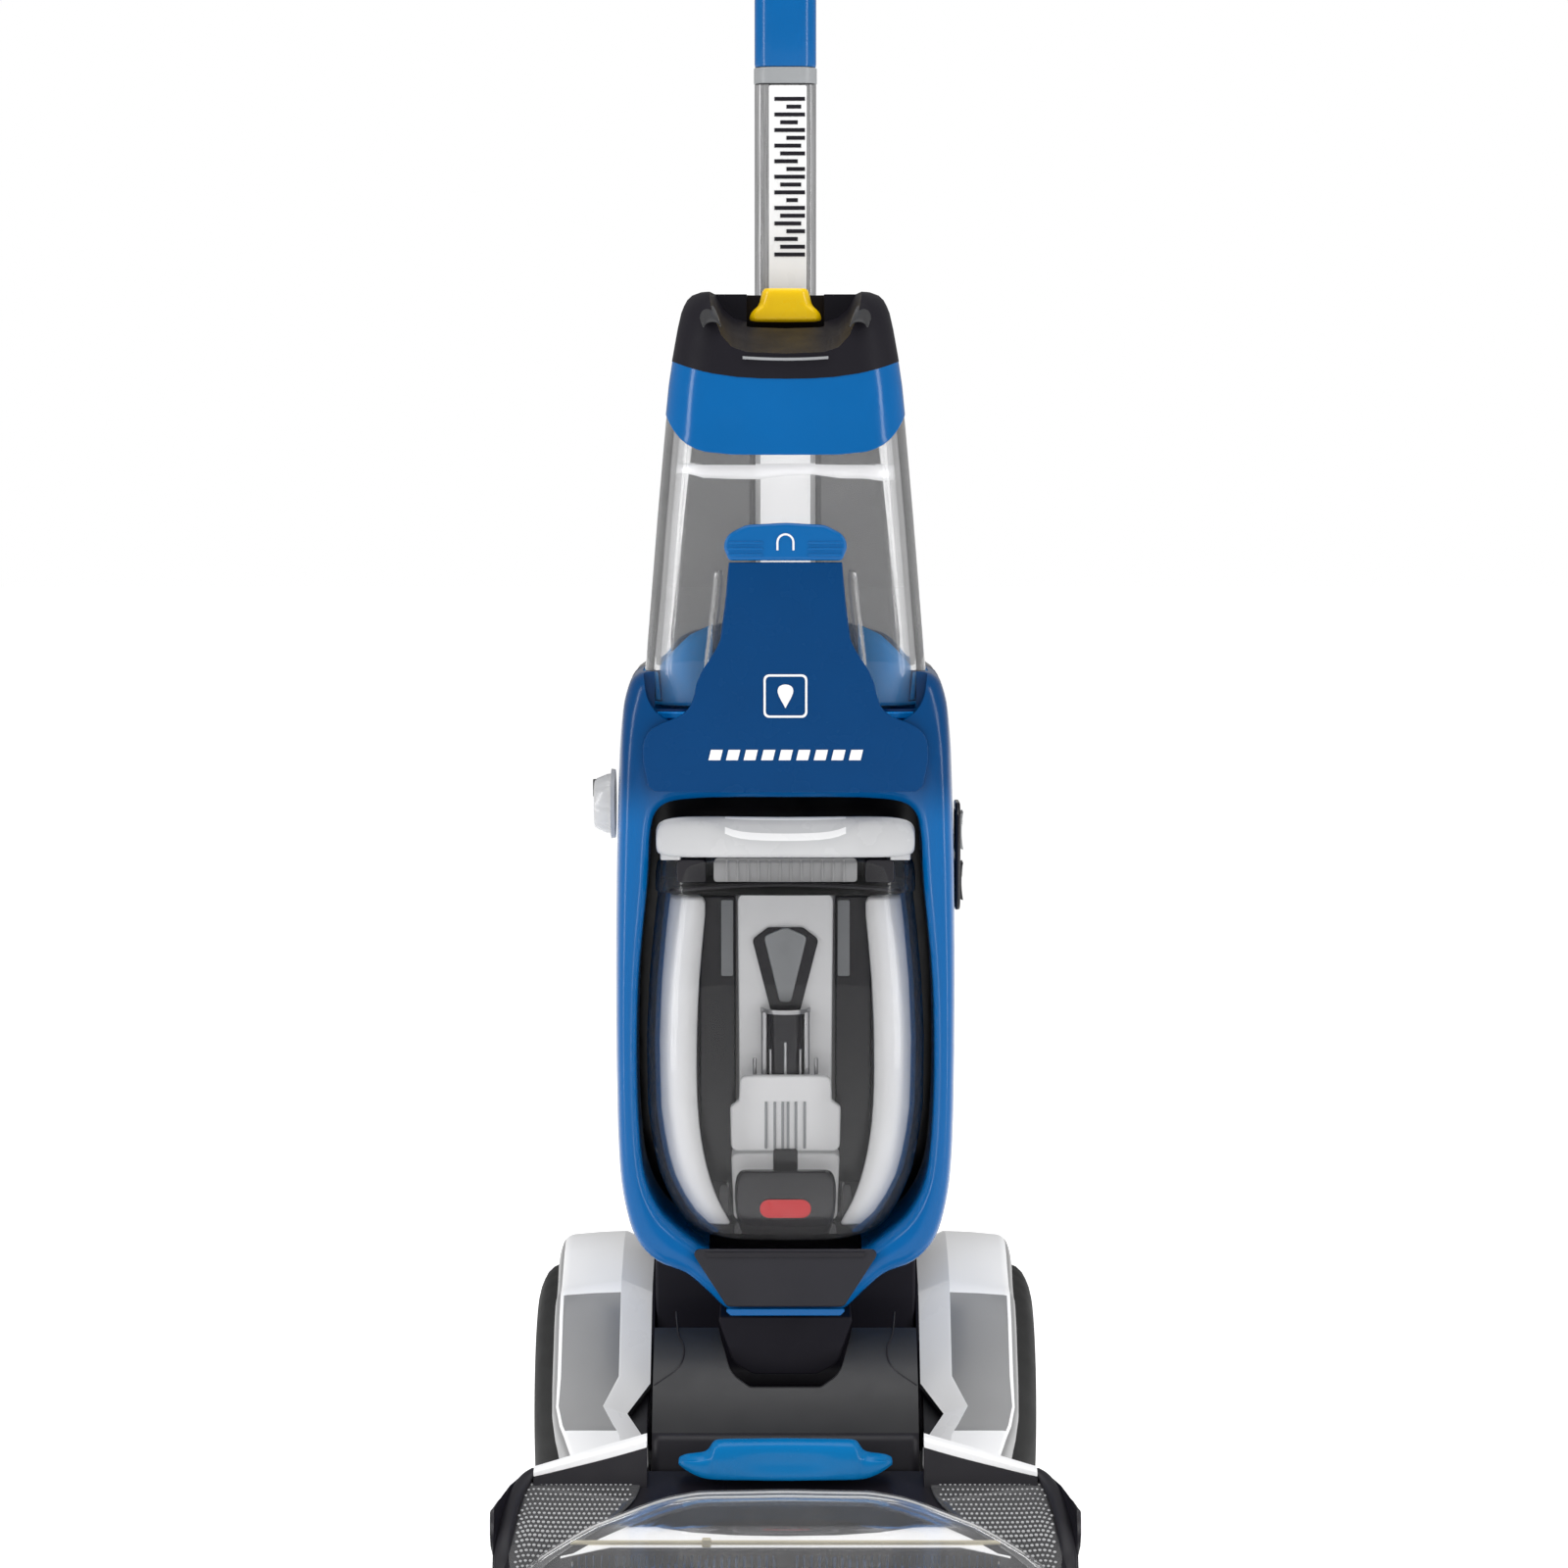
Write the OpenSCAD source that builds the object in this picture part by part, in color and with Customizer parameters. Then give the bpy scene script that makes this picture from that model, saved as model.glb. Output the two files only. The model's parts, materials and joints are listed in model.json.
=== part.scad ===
// Upright carpet cleaner: a floor head on two wheels carries a reclining body with a
// clean tank, a dirty tank and a telescoping loop handle. Millimetres.
// +X right as seen from the front, +Y to the rear, +Z up. Origin on the floor, centre of the footprint.

/* [Floor head] */
// Widest part of the nozzle cover
head_w = 320; // [310:1:326]
// Rear wheel diameter
wheel_d = 164; // [160:1:166]
// Brush roll diameter over the bristles
brush_d = 46; // [42:0.5:47]

/* [Body] */
// Width over the blue side rails
body_w = 194; // [192:1:196]
// Depth of the front frame, from its face to the seam
frame_depth = 85; // [84:0.5:86]
// Wall of the moulded shells
wall = 3; // [2.6:0.1:3.2]

/* [Tanks] */
// Half width of the clean tank where it sits in the cradle
clean_hw = 80; // [78:0.5:80]
// Half width of the dirty tank at its bulge
dirty_hw = 81; // [79:0.5:81]
// Wall of both clear tanks
tank_wall = 2.6; // [2.4:0.1:3]

/* [Handle] */
// Width of the handle tube
tube_w = 36; // [35:0.5:36]
// Lean of the loop grip from upright
grip_lean = 40; // [38:1:42]

/* [Hidden] */
$fn = 48;

blue = [0.0, 0.36, 0.64];
ink = [0.10, 0.10, 0.12];
grey = [0.25, 0.25, 0.27];
silver = [0.72, 0.72, 0.73];
smoke = [0.75, 0.77, 0.80, 0.45];
steel = [0.7, 0.7, 0.72];
yellow = [0.97, 0.73, 0.05];

run = 0.06;                       // running clearance on a radius
piv_y = 95;                       // recline pivot and wheel axle
piv_z = wheel_d / 2;
face_y = -60;                     // front face of the body frame
seam_y = face_y + frame_depth;
body_hw = body_w / 2;
head_hw = head_w / 2;
brush_y = [-176, -128];
brush_z = brush_d / 2 + 1;
motor_y = -66;
motor_z = 50;
tube_y = 78;
tube_d = 24;
tube_top = 876;
rocker_z = [408, 437];
hook_z = 460;                     // height of the turning cord hook

// ---- helpers ----------------------------------------------------------------

module ext_x(x0, x1) translate([x0, 0, 0]) rotate([90, 0, 90]) linear_extrude(x1 - x0) children();
module ext_y(y0, y1) translate([0, y1, 0]) rotate([90, 0, 0]) linear_extrude(y1 - y0) children();
module ext_z(z0, z1) translate([0, 0, z0]) linear_extrude(z1 - z0) children();
module rod_x(x0, x1, y, z, r) translate([x0, y, z]) rotate([0, 90, 0]) cylinder(h = x1 - x0, r = r);
module rod_y(x, y0, y1, z, r) translate([x, y1, z]) rotate([90, 0, 0]) cylinder(h = y1 - y0, r = r);
module both_sides() { children(); mirror([1, 0, 0]) children(); }
module block(lo, hi) translate(lo) cube(hi - lo);

// A w by h rectangle with corner radius r, centred
module rrect(w, h, r) {
    square([w, h - 2 * r], center = true);
    square([w - 2 * r, h], center = true);
    for (sx = [-1, 1], sy = [-1, 1]) translate([sx * (w / 2 - r), sy * (h / 2 - r)]) circle(r);
}

// Corners [x, y, radius] to a rounded outline
function unit(v) = v / norm(v);
function corner(a, b, c) =
    let (u = unit([a.x - b.x, a.y - b.y]), v = unit([c.x - b.x, c.y - b.y]), half = acos(u * v) / 2,
         r = b[2], centre = [b.x, b.y] + unit(u + v) * (r / sin(half)),
         p = [b.x, b.y] + u * (r / tan(half)) - centre, q = [b.x, b.y] + v * (r / tan(half)) - centre,
         a0 = atan2(p.y, p.x), turn = atan2(p.x * q.y - p.y * q.x, p * q))
    [for (i = [0:5]) centre + r * [cos(a0 + turn * i / 5), sin(a0 + turn * i / 5)]];
function rounded(c) = [for (i = [0:len(c) - 1], p = c[i][2] > 0
    ? corner(c[(i + len(c) - 1) % len(c)], c[i], c[(i + 1) % len(c)]) : [[c[i].x, c[i].y]]) p];
function mirrored(half) = concat(half, [for (i = [len(half) - 1:-1:0]) [-half[i][0], half[i][1],
    half[i][2]]]);

// A skin through rings of equal length, with the first and last ring as flat ends
module loft(rings) {
    n = len(rings[0]);
    m = len(rings);
    polyhedron(points = [for (r = rings, p = r) p], faces = concat(
        [[for (j = [0:n - 1]) j]], [[for (j = [n - 1:-1:0]) (m - 1) * n + j]],
        [for (i = [0:m - 2], j = [0:n - 1]) [i * n + j, (i + 1) * n + j, (i + 1) * n + (j + 1) % n]],
        [for (i = [0:m - 2], j = [0:n - 1]) [i * n + j, (i + 1) * n + (j + 1) % n,
        i * n + (j + 1) % n]]));
}
// The same skin closed on itself, for a hoop
module hoop(rings) {
    n = len(rings[0]);
    m = len(rings);
    polyhedron(points = [for (r = rings, p = r) p], faces = concat(
        [for (i = [0:m - 1], j = [0:n - 1]) [i * n + j, ((i + 1) % m) * n + j,
        ((i + 1) % m) * n + (j + 1) % n]],
        [for (i = [0:m - 1], j = [0:n - 1]) [i * n + j, ((i + 1) % m) * n + (j + 1) % n,
        i * n + (j + 1) % n]]));
}

// A level ring: half width hw, from y0 to y1, corner radius r, with the front bowed out by bow
function tank_ring(hw, y0, y1, r, bow, z) = [for (k = [0:3], i = [0:7])
    let (a = 90 * k + 90 * i / 7, sx = (k == 0 || k == 3) ? 1 : -1, sy = k < 2 ? 1 : -1,
         x = sx * (hw - r) + r * cos(a), y = (sy > 0 ? y1 - r : y0 + r) + r * sin(a))
    [x, sy < 0 ? y - bow * (1 - pow(x / hw, 2)) : y, z]];

// ---- floor head ---------------------------------------------------------------

// Top line of the nozzle cover, front to rear, and the window that stands over it
cover_line = [[-218, 9], [-216, 24], [-206, 36], [-190, 47], [-160, 61], [-130, 72], [-100, 86]];
window_line = [[-228, 4], [-226, 25], [-214, 41], [-197, 54], [-163, 70], [-135, 78], [-112, 82]];
// How far forward and back the cover reaches at x, which gives its rounded plan
function cover_front(x) = lookup(abs(x), [[0, -218], [110, -218], [130, -215], [146, -205], [156,
    -190], [160, -178]]);
function cover_rear(x) = lookup(abs(x), [[0, -100], [144, -100], [152, -112], [158, -138], [160, -152]]);
// Section of the cover at x, drawn in by t
function cover_section(x, t) =
    let (y0 = cover_front(x) + t, y1 = cover_rear(x) - t, k = (y1 - y0) / 118,
        top = [for (p = cover_line) let (y = y0 + (p[0] + 218) * k) [y, p[1]
            - 10 * pow(max(0, (abs(x) - 138) / 22), 2) - t * 1.2]])
    concat([[x, y0, 8 - t], [x, y1, 8 - t]],
        [for (i = [len(top) - 1:-1:0]) [x, top[i][0] + (i == 0 ? 0.5 : 0), i == 0 ? 12 : top[i][1]]]);
cover_stations = concat([-150, -138], [for (x = [-120:30:120]) x], [138, 150]);
module nozzle_cover() color(smoke) difference() {
    loft([for (x = concat([-160, -157], cover_stations, [157, 160])) cover_section(x, 0)]);
    loft([for (x = concat([-157.3, -154.3], cover_stations, [154.3, 157.3])) cover_section(x, 2.5)]);
    block([-150, -113, 0], [150, -98, 57.7]);
}

window_hw = 141;                  // half width of the suction lip
// The window's plan, drawn in by t from its edge
function window_plan(t) = let (w = window_hw - t, r = -t) [[-w, -230 + t], [w, -230 + t], [w,
    -192 + r], [64, -128 + r],
    [50, -122 + r], [0, -120 + r], [-50, -122 + r], [-64, -128 + r], [-w, -192 + r]];
module nozzle_window() color(smoke) difference() {
    intersection() {
        ext_x(-window_hw, window_hw) polygon(concat([[-221, 4], [-220, 26]],
        [for (i = [3:6]) cover_line[i] + [0, 0.5]],
            [for (i = [6:-1:0]) window_line[i]]));
        ext_z(0, 120) polygon(window_plan(0));
    }
    intersection() {
        ext_x(-window_hw, window_hw) polygon(concat([[-225.6, 2], [-110, 2]],
        [for (i = [6:-1:1]) window_line[i]
            - (i < 3 ? [-2, 1.4] : [0, 2.6])]));
        ext_z(0, 120) polygon(window_plan(2.4));
    }
}

module nozzle_lip_seal() color(ink) block([-136, -227, 1.5], [136, -223, 3.9]);

module nozzle_latch() color(blue) intersection() {
    ext_y(-119, -95) polygon(rounded(mirrored([[0, 107, 0], [38, 106.5, 4], [44, 101, 4], [60, 99, 3],
        [56, 86, 4], [44, 83, 2],
        [0, 83, 0]])));
    ext_x(-62, 62) polygon(rounded([[-118.5, 83, 1], [-114, 83, 1], [-113, 92.5, 0], [-96, 93.5, 0.5],
        [-96, 99, 2],
        [-104, 106, 5], [-113, 107, 3], [-118.5, 99, 3]]));
}

module brush_housing() color(ink) {
    difference() {
        union() {
            both_sides() ext_x(140, 146) polygon(rounded([[-198.5, 6, 1], [-198.5, 15, 5], [-150, 44,
            20], [-104, 56, 4],
                [-104, 6, 2]]));
            block([-146, -198.5, 5], [146, -194.8, 10]);
            block([-119, -104, 8], [119, -102.8, 76]);
            both_sides() block([118, -104, 51], [146, -102.8, 57.4]);
        }
        for (y = brush_y) rod_x(-147, 147, y, brush_z, 6 + run);
    }
}

module skid_pads() color(grey) both_sides() block([104, -198.5, 0], [138, -190.5, 5]);

// A brush roll: hollow core with journals, and a belt pulley on each end that is driven
module brush_core(y, left) color(grey) difference() {
    union() {
        rod_x(-124, 124, y, brush_z, 12);
        rod_x(-145, 145, y, brush_z, 6);
        rod_x(127, 137, y, brush_z, 12);
        if (left) rod_x(-137, -127, y, brush_z, 14);
    }
    rod_x(-146, 146, y, brush_z, 3);
}
module bristle_rows(y) color(blue) translate([0, y, brush_z]) for (a = [0:60:300]) rotate([a, 0, 0])
    for (k = [-1, 1]) block([k > 0 ? 2 : -116, -1.6, 12.02], [k > 0 ? 116 : -2, 1.6, brush_d / 2 - 0.3]);

// Outline round two pulleys in the YZ plane, larger one last
function belt_line(c1, r1, c2, r2) =
    let (d = c2 - c1, a = atan2(d.y, d.x), b = acos((r1 - r2) / norm(d)))
    concat([for (t = [0:10]) c1 + r1 * [cos(a + b + (360 - 2 * b) * t / 10),
        sin(a + b + (360 - 2 * b) * t / 10)]],
        [for (t = [0:10]) c2 + r2 * [cos(a - b + 2 * b * t / 10), sin(a - b + 2 * b * t / 10)]]);
module belt(x0, x1, c1, r1, c2, r2) color(ink) ext_x(x0, x1) difference() {
    polygon(belt_line(c1, r1 + 2.2, c2, r2 + 2.2));
    polygon(belt_line(c1, r1 + 0.6, c2, r2 + 0.6));
}
module drive_belt() belt(-135.5, -128.5, [motor_y, motor_z], 7, [brush_y[1], brush_z], 14);
module brush_belt() belt(128.5, 135.5, [brush_y[0], brush_z], 12, [brush_y[1], brush_z], 12);

module brush_motor() color(steel) difference() {
    union() {
        rod_x(-104, -34, motor_y, motor_z, 20);
        rod_x(-110, -104, motor_y, motor_z, 9);
    }
    rod_x(-111, -60, motor_y, motor_z, 4 + run);
}
module drive_pulley() color(steel) {
    rod_x(-126, -62, motor_y, motor_z, 4);
    rod_x(-137, -126, motor_y, motor_z, 7);
}

module spray_jets() color(ink) both_sides() {
    block([38, -112, 60], [62, -104.2, 68]);
    translate([50, -108, 55]) cylinder(h = 5, r1 = 1.5, r2 = 3.5);
}
// Bright strips along the rear edge of the nozzle cover, on each side of the latch
module trim_strips() color(silver) both_sides() ext_y(-112, -104) polygon([[64, 93], [80, 91.5], [146,
    84.5],
    [148, 88], [80, 99], [64, 101]]);

module saddle_line(k) polygon(concat([for (t = [0:7.5:90]) [-99.6 * cos(t) * k, 62 + 97 * sin(t) * k]],
    [[0, 62]]));
module saddle_cover() color(grey) {
    difference() {
        ext_x(-75, 75) difference() {
            saddle_line(1);
            saddle_line(0.97);
            translate([-96.6, 50]) square([97, 13]);
            translate([-120, 40]) square([140, 33]);
        }
        ext_y(-102, 6) polygon(rounded(mirrored([[0, 170, 0], [44, 170, 0], [34, 126, 14], [0, 126,
        0]])));
    }
}

// The side fairings: a fender ribbon over and in front of the wheel, narrowing at its foot
fairing_line = [[-92, 80], [-84, 86], [-50, 96], [-38, 104], [-12, 138], [16, 168], [26, 173], [62,
    185], [112, 182], [150, 162]];
fairing_inner = [for (i = [0:len(fairing_line) - 1]) fairing_line[i] + (i == 0 ? [2.6,
    0] : i < 3 ? [1.2, -2.6]
    : i < 6 ? [2, -1.9] : [0, -2.6])];
module fairing() color(silver) difference() {
    union() {
        ext_x(76, 135) polygon(concat(fairing_line,
        [for (i = [len(fairing_line) - 1:-1:0]) fairing_inner[i]]));
        for (x = [76, 132]) ext_x(x, x + 3) polygon([[-92, 80], for (i = [1:5]) fairing_line[i], [16,
        148], [-6, 112], [-14, 79], [-92, 79]]);
    }
    ext_y(-100, 160) difference() {
        translate([126, 179]) square([20, 20]);
        translate([126, 179]) circle(9);
    }
}
module right_fairing() fairing();
module left_fairing() mirror([1, 0, 0]) fairing();

module foot_chassis() color(ink) {
    difference() {
        union() {
            both_sides() ext_x(77, 94) difference() {
                union() {
                    translate([-98, 14]) square([258, 46]);
                    translate([piv_y, piv_z]) circle(34);
                }
                translate([-90, 26]) square([78, 26]);
            }
            block([-94, -98, 15.5], [94, 30, 19]);
            block([-94, 154, 14], [94, 160, 34]);
            both_sides() rod_x(94, 117, piv_y, piv_z, 12);
            both_sides() block([77, -98, 60], [94, -20, 77.5]);
            both_sides() block([56, -92, 6], [62, -74, 18]);
            both_sides() block([48, 160, 24], [54, 170, 40]);
        }
        both_sides() rod_x(76, 92.5, piv_y, piv_z, 14 + run);
        both_sides() block([32, -97, 13], [52, -69, 20]);
        both_sides() rod_x(96, 118, piv_y, piv_z, 5);
        rod_x(-64, 64, -83, 11.5, 3 + run);
        block([-112, motor_y - 23, motor_z - 23], [-30, motor_y + 23, 76.4]);
        block([-140, motor_y - 14, motor_z - 14], [-70, motor_y + 14, 78]);
    }
}
module wheel_axles() color(steel) both_sides() rod_x(96.2, 148, piv_y, piv_z, 5 - 0.005);
module support_rollers() color(grey) {
    rod_x(-63, 63, -83, 11.5, 3);
    both_sides() rod_x(34, 50, -83, 11.5, 11.5);
}

module recline_pedal() color(ink) {
    difference() {
        union() {
            ext_x(-47.4, 47.4) polygon(rounded([[163.4, 40.2, 1], [168, 46, 1], [196, 42, 1.5], [196,
            38, 1.5], [170, 40, 0]]));
            rod_x(-47, 47, 166, 37.5, 3.4);
        }
        rod_x(-60, 60, 166, 37.5, 1.5);
    }
}

// Wheel: profile [radius, x] turned about the axle
module turned_x(profile) translate([0, piv_y, piv_z]) rotate([0, 90,
    0]) rotate_extrude($fn = 96) polygon(profile);
tyre_r = wheel_d / 2;
module tyre() color(ink) turned_x([[58, 121], [tyre_r - 3, 121], [tyre_r, 124], [tyre_r, 133],
    [tyre_r - 2, 139],
    [tyre_r - 7, 144], [tyre_r - 14, 147.5], [58, 149]]);
module hub() color(silver) turned_x([[5 + run, 119], [14, 119], [14, 124], [57.98, 124], [57.98,
    147.5], [50, 148.5],
    [44, 143], [22, 141], [16, 146], [5 + run, 147]]);
module right_tyre() tyre();
module left_tyre() mirror([1, 0, 0]) tyre();
module right_hub() hub();
module left_hub() mirror([1, 0, 0]) hub();

// ---- body -----------------------------------------------------------------------

function body_outline(g) = rounded(mirrored([[0, 163 - g, 0], [34 + g / 2, 163 - g, 8], [52 + g / 2,
    184 - g, 10],
    [80 + g / 2, 192 - g, 20], [body_hw + g, 228, 50], [body_hw + g, 470, 30], [body_hw - 5 + g, 508, 22],
    [84 + g, 530 + g, 4], [0, 530 + g, 0]]));
function bay_outline() = rounded(mirrored([[0, 452, 0], [79, 452, 14], [85, 400, 60], [86, 262, 60],
    [68, 205, 28],
    [56, 197, 4], [0, 197, 0]]));
module tank_pocket() block([-clean_hw - 1, -51, 508], [clean_hw + 1, 53, 540]);

module front_shell() color(blue) difference() {
    ext_y(face_y, seam_y) polygon(body_outline(0));
    ext_y(face_y - 1, seam_y + 1) polygon(bay_outline());
    tank_pocket();
    block([-88, face_y + 4, 458], [88, seam_y + 1, 504]);
    rod_x(-100, -80, -12, 452, 4 + run);
    for (z = rocker_z) block([body_hw - 4, -21, z - 12], [body_hw + 1, -3, z + 12]);
}

module header_cowl() color(blue) {
    ext_y(-66, face_y - 0.2) polygon(rounded(mirrored([[0, 528, 0], [66, 528, 12], [80, 500, 14], [82,
        466, 8], [0, 466, 0]])));
    ext_y(-66, -57) polygon(rounded(mirrored([[0, 592, 0], [34, 592, 4], [39, 530.4, 0], [0, 530.4,
        0]])));
    block([-39, -66, 527], [39, -60.2, 531]);
}
module tank_latch() color(blue) difference() {
    ext_x(-36, 36) polygon(rounded([[-65.6, 594.6, 1], [-66, 606, 4], [-60, 611, 3], [-56.6, 611, 2],
        [-56.6, 594.6, 1]]));
    rod_x(-37, 37, -60, 598, 1.5);
}

module rear_shell() color(ink) {
    side = rounded([[seam_y + 0.2, 160, 0], [100, 160, 6], [128, 196, 24], [128, 486, 30], [112, 531,
        10], [seam_y + 0.2, 531, 0]]);
    inner = rounded([[seam_y - 1, 100, 0], [97, 163 + wall, 6], [128 - wall, 198, 22], [128 - wall,
        484, 28], [110, 530 - wall, 8], [seam_y - 1, 530 - wall, 0]]);
    difference() {
        intersection() {
            ext_y(seam_y, 130) polygon(body_outline(0));
            ext_x(-120, 120) polygon(side);
        }
        intersection() {
            ext_y(seam_y - 1, 130) polygon(body_outline(-wall));
            ext_x(-120, 120) polygon(inner);
        }
        tank_pocket();
        ext_z(520, 540) translate([0, tube_y]) rrect(tube_w + 7, tube_d + 7, 12);
        rod_y(50, 120, 130, 330, 22.1);
        rod_y(-45, 120, 130, 215, 8.1);
        rod_y(0, 120, 130, hook_z, 6 + run);
        block([-58, seam_y - 1, 186], [58, 124, 196]);
    }
}

module neck_housing() color(ink) difference() {
    union() {
        rod_x(-70, 70, piv_y, piv_z, 58);
        rod_x(-92, 92, piv_y, piv_z, 14);
        difference() {
            ext_x(-70, 70) polygon(rounded([[8, 196, 0], [8, 118, 16], [50, 92, 0], [140, 92, 0], [124,
            150, 0], [124, 196, 0]]));
            ext_y(7, 127) polygon(body_outline(0.3));
        }
        ext_y(-50, 10) polygon(rounded(mirrored([[0, 162.6, 0], [38, 162.6, 0], [30, 131, 12], [0, 131,
        0]])));
    }
    rod_x(-67, 67, piv_y, piv_z, 55);
    ext_x(-66, 66) polygon([[14, 155], [14, 124], [52, 108], [132, 108], [120, 150], [118, 155]]);
    ext_y(-46, 20) polygon(rounded(mirrored([[0, 158, 0], [33, 158, 0], [27, 135, 8], [0, 135, 0]])));
}

module bay_liner() color(ink) {
    difference() {
        ext_y(54.2, 57.2) polygon(rounded(mirrored([[0, 502, 0], [86, 502, 8], [90, 400, 10], [90, 240,
        30], [64, 197.2, 8], [0, 197.2, 0]])));
        rod_y(0, 50, 60, 418, 15);
    }
    block([-54, -56, 197.2], [54, 57.2, 199.6]);
    ext_y(57.2, 76) difference() {
        translate([-22, 220]) square([44, 214]);
        translate([-19, 223]) square([38, 208]);
    }
}
module bay_apron() color(grey) {
    ext_y(-64, face_y - 0.2) polygon(rounded(mirrored([[0, 200.4, 0], [56, 200.4, 2], [36, 175, 6], [0,
        175, 0]])));
}

module suction_motor() color(steel) difference() {
    union() {
        rod_x(-58, 28, piv_y, piv_z, 42);
        rod_x(28, 34, piv_y, piv_z, 54);
    }
    rod_x(-40, 36, piv_y, piv_z, 4 + run);
}
module suction_fan() color(steel) {
    rod_x(-38, 62, piv_y, piv_z, 4);
    difference() {
        rod_x(40, 43, piv_y, piv_z, 50);
        rod_x(39, 44, piv_y, piv_z, 3.9);
    }
    for (a = [0:40:320]) translate([0, piv_y, piv_z]) rotate([a, 0, 0]) block([42.5, 14, -1], [55, 49,
        1]);
}
module water_pump() color(grey) {
    block([-66, 66, 205], [-24, 104, 250]);
    rod_y(-45, 60, 66, 228, 6);
}
module heater_block() color(steel) {
    block([28, 66, 205], [66, 100, 262]);
    translate([38, 83, 262]) cylinder(h = 14, r = 4);
    translate([56, 83, 262]) cylinder(h = 14, r = 4);
}

module spine_sleeve() color(silver) difference() {
    ext_z(448, 738) translate([0, tube_y]) rrect(tube_w + 6.4, tube_d + 6.4, 11);
    ext_z(447, 739) translate([0, tube_y]) rrect(tube_w + 0.8, tube_d + 0.8, 8.4);
}

module hose_port() color(grey) difference() {
    union() {
        rod_y(50, 100, 131, 330, 22);
        rod_y(50, 128.2, 131, 330, 26);
    }
    rod_y(50, 99, 132, 330, 17);
}
module hose_door() color(ink) {
    ext_y(131.4, 134.4) translate([50, 330]) rrect(58, 56, 10);
    difference() {
        rod_x(30, 70, 135.6, 359.6, 3.4);
        rod_x(29, 71, 135.6, 359.6, 1.4);
        block([20, 120, 340], [80, 131.3, 370]);
    }
}
module cord_gland() color(ink) difference() {
    union() {
        rod_y(-45, 121, 134, 215, 8);
        rod_y(-45, 128.2, 134, 215, 11);
    }
    rod_y(-45, 120, 135, 215, 4.2);
}
module hook_shape(up) {
    ext_x(-9, 9) polygon(rounded([[128.2, -12, 0], [150, -8, 6], [156, -26, 3], [163, -26, 3], [158, 2,
        8], [128.2, 8, 0]]));
}
module lower_cord_hook() color(ink) translate([0, 0, 236]) hook_shape();
module upper_cord_hook() color(ink) translate([0, 0, hook_z]) rotate([0, 180, 0]) {
    hook_shape();
    rod_y(0, 116, 128.2, 0, 6);
}

module switch_bezel() color(ink) difference() {
    ext_x(body_hw + 0.1, body_hw + 2.6) translate([-12, 422]) rrect(32, 62, 8);
    for (z = rocker_z) block([body_hw, -21, z - 12], [body_hw + 4, -3, z + 12]);
}
module rocker(z) ext_y(-20.6, -3.4) translate([0, z]) polygon(rounded([[body_hw + 0.8, -9, 0],
    [body_hw + 4.6, -11, 1],
    [body_hw + 3.4, 0, 0], [body_hw + 4.6, 11, 1], [body_hw + 0.8, 9, 0]]));
module power_rocker() color(grey) rocker(rocker_z[1]);
module heat_rocker() color(ink) rocker(rocker_z[0]);

module mode_knob() color(silver) {
    knob_x = -body_hw;
    rod_x(knob_x + 7, knob_x + 12, -12, 452, 3.9);
    rod_x(knob_x - 0.3, knob_x + 8, -12, 452, 4);
    rod_x(knob_x - 2.6, knob_x - 0.3, -12, 452, 20);
    translate([knob_x - 12, -12, 452]) rotate([0, 90, 0]) cylinder(h = 9.4, r1 = 13, r2 = 17);
}

module body_screws() color(steel) {
    for (z = [260, 440], sx = [-1, 1]) rod_y(sx * 80, 128.2, 130, z, 4);
}

// ---- clean tank -------------------------------------------------------------------

function clean_hw_at(z) = lookup(z, [[508, clean_hw - 1.5], [530, clean_hw], [720, 62.5], [745, 54]]);
function clean_front(z) = lookup(z, [[508, -44], [530, -46], [720, -36], [745, -28]]);
function clean_ring(z, inset) = tank_ring(clean_hw_at(z) - inset, clean_front(z) + inset, 52 - inset,
    24 - inset / 2, 4, z);
module clean_tank_shell() color(smoke) {
    loft(concat([for (z = [508.4, 514, 560, 610, 660, 692]) clean_ring(z, z < 510 ? 3 : 0)],
        [for (z = [692, 660, 610, 560, 511.4]) clean_ring(z, tank_wall)]));
}
// The blue band: its lower edge dips at the front
function band_low(x, y) = y > 0 ? 676 : 652 + 24 * pow(min(1, abs(x) / 66), 4);
function band_ring(inset, top) = [for (p = clean_ring(696, inset)) let (
    z = top ? 699 : band_low(p.x, p.y), qx = clean_hw_at(z) / clean_hw_at(696),
    qy = p.y < 0 ? clean_front(z) / clean_front(696) : 1) [p.x * qx, p.y * qy, z]];
module clean_tank_band() color(blue) hoop([band_ring(-0.4, false), band_ring(-2.6, false),
    band_ring(-2.6, true), band_ring(-0.4, true)]);
module clean_tank_cap() color(ink) difference() {
    loft([for (s = [[699.3, -2.0], [716, -1.4], [736, -0.8], [742, 2], [744.5, 8]]) clean_ring(s[0],
        s[1])]);
    loft([for (s = [[698, 4], [712, 5], [718, 20]]) clean_ring(s[0], s[1])]);
    ext_z(726, 760) rrect(72, 46, 14);
    ext_z(722, 760) translate([0, 48]) rrect(46, 30, 5);
}
module tank_button() color(yellow) ext_y(36, 50) polygon(rounded(mirrored([[0, 750, 0], [15, 750, 4],
    [21, 736, 2],
    [21, 727, 1], [0, 727, 0]])));

// ---- dirty tank -------------------------------------------------------------------

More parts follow.
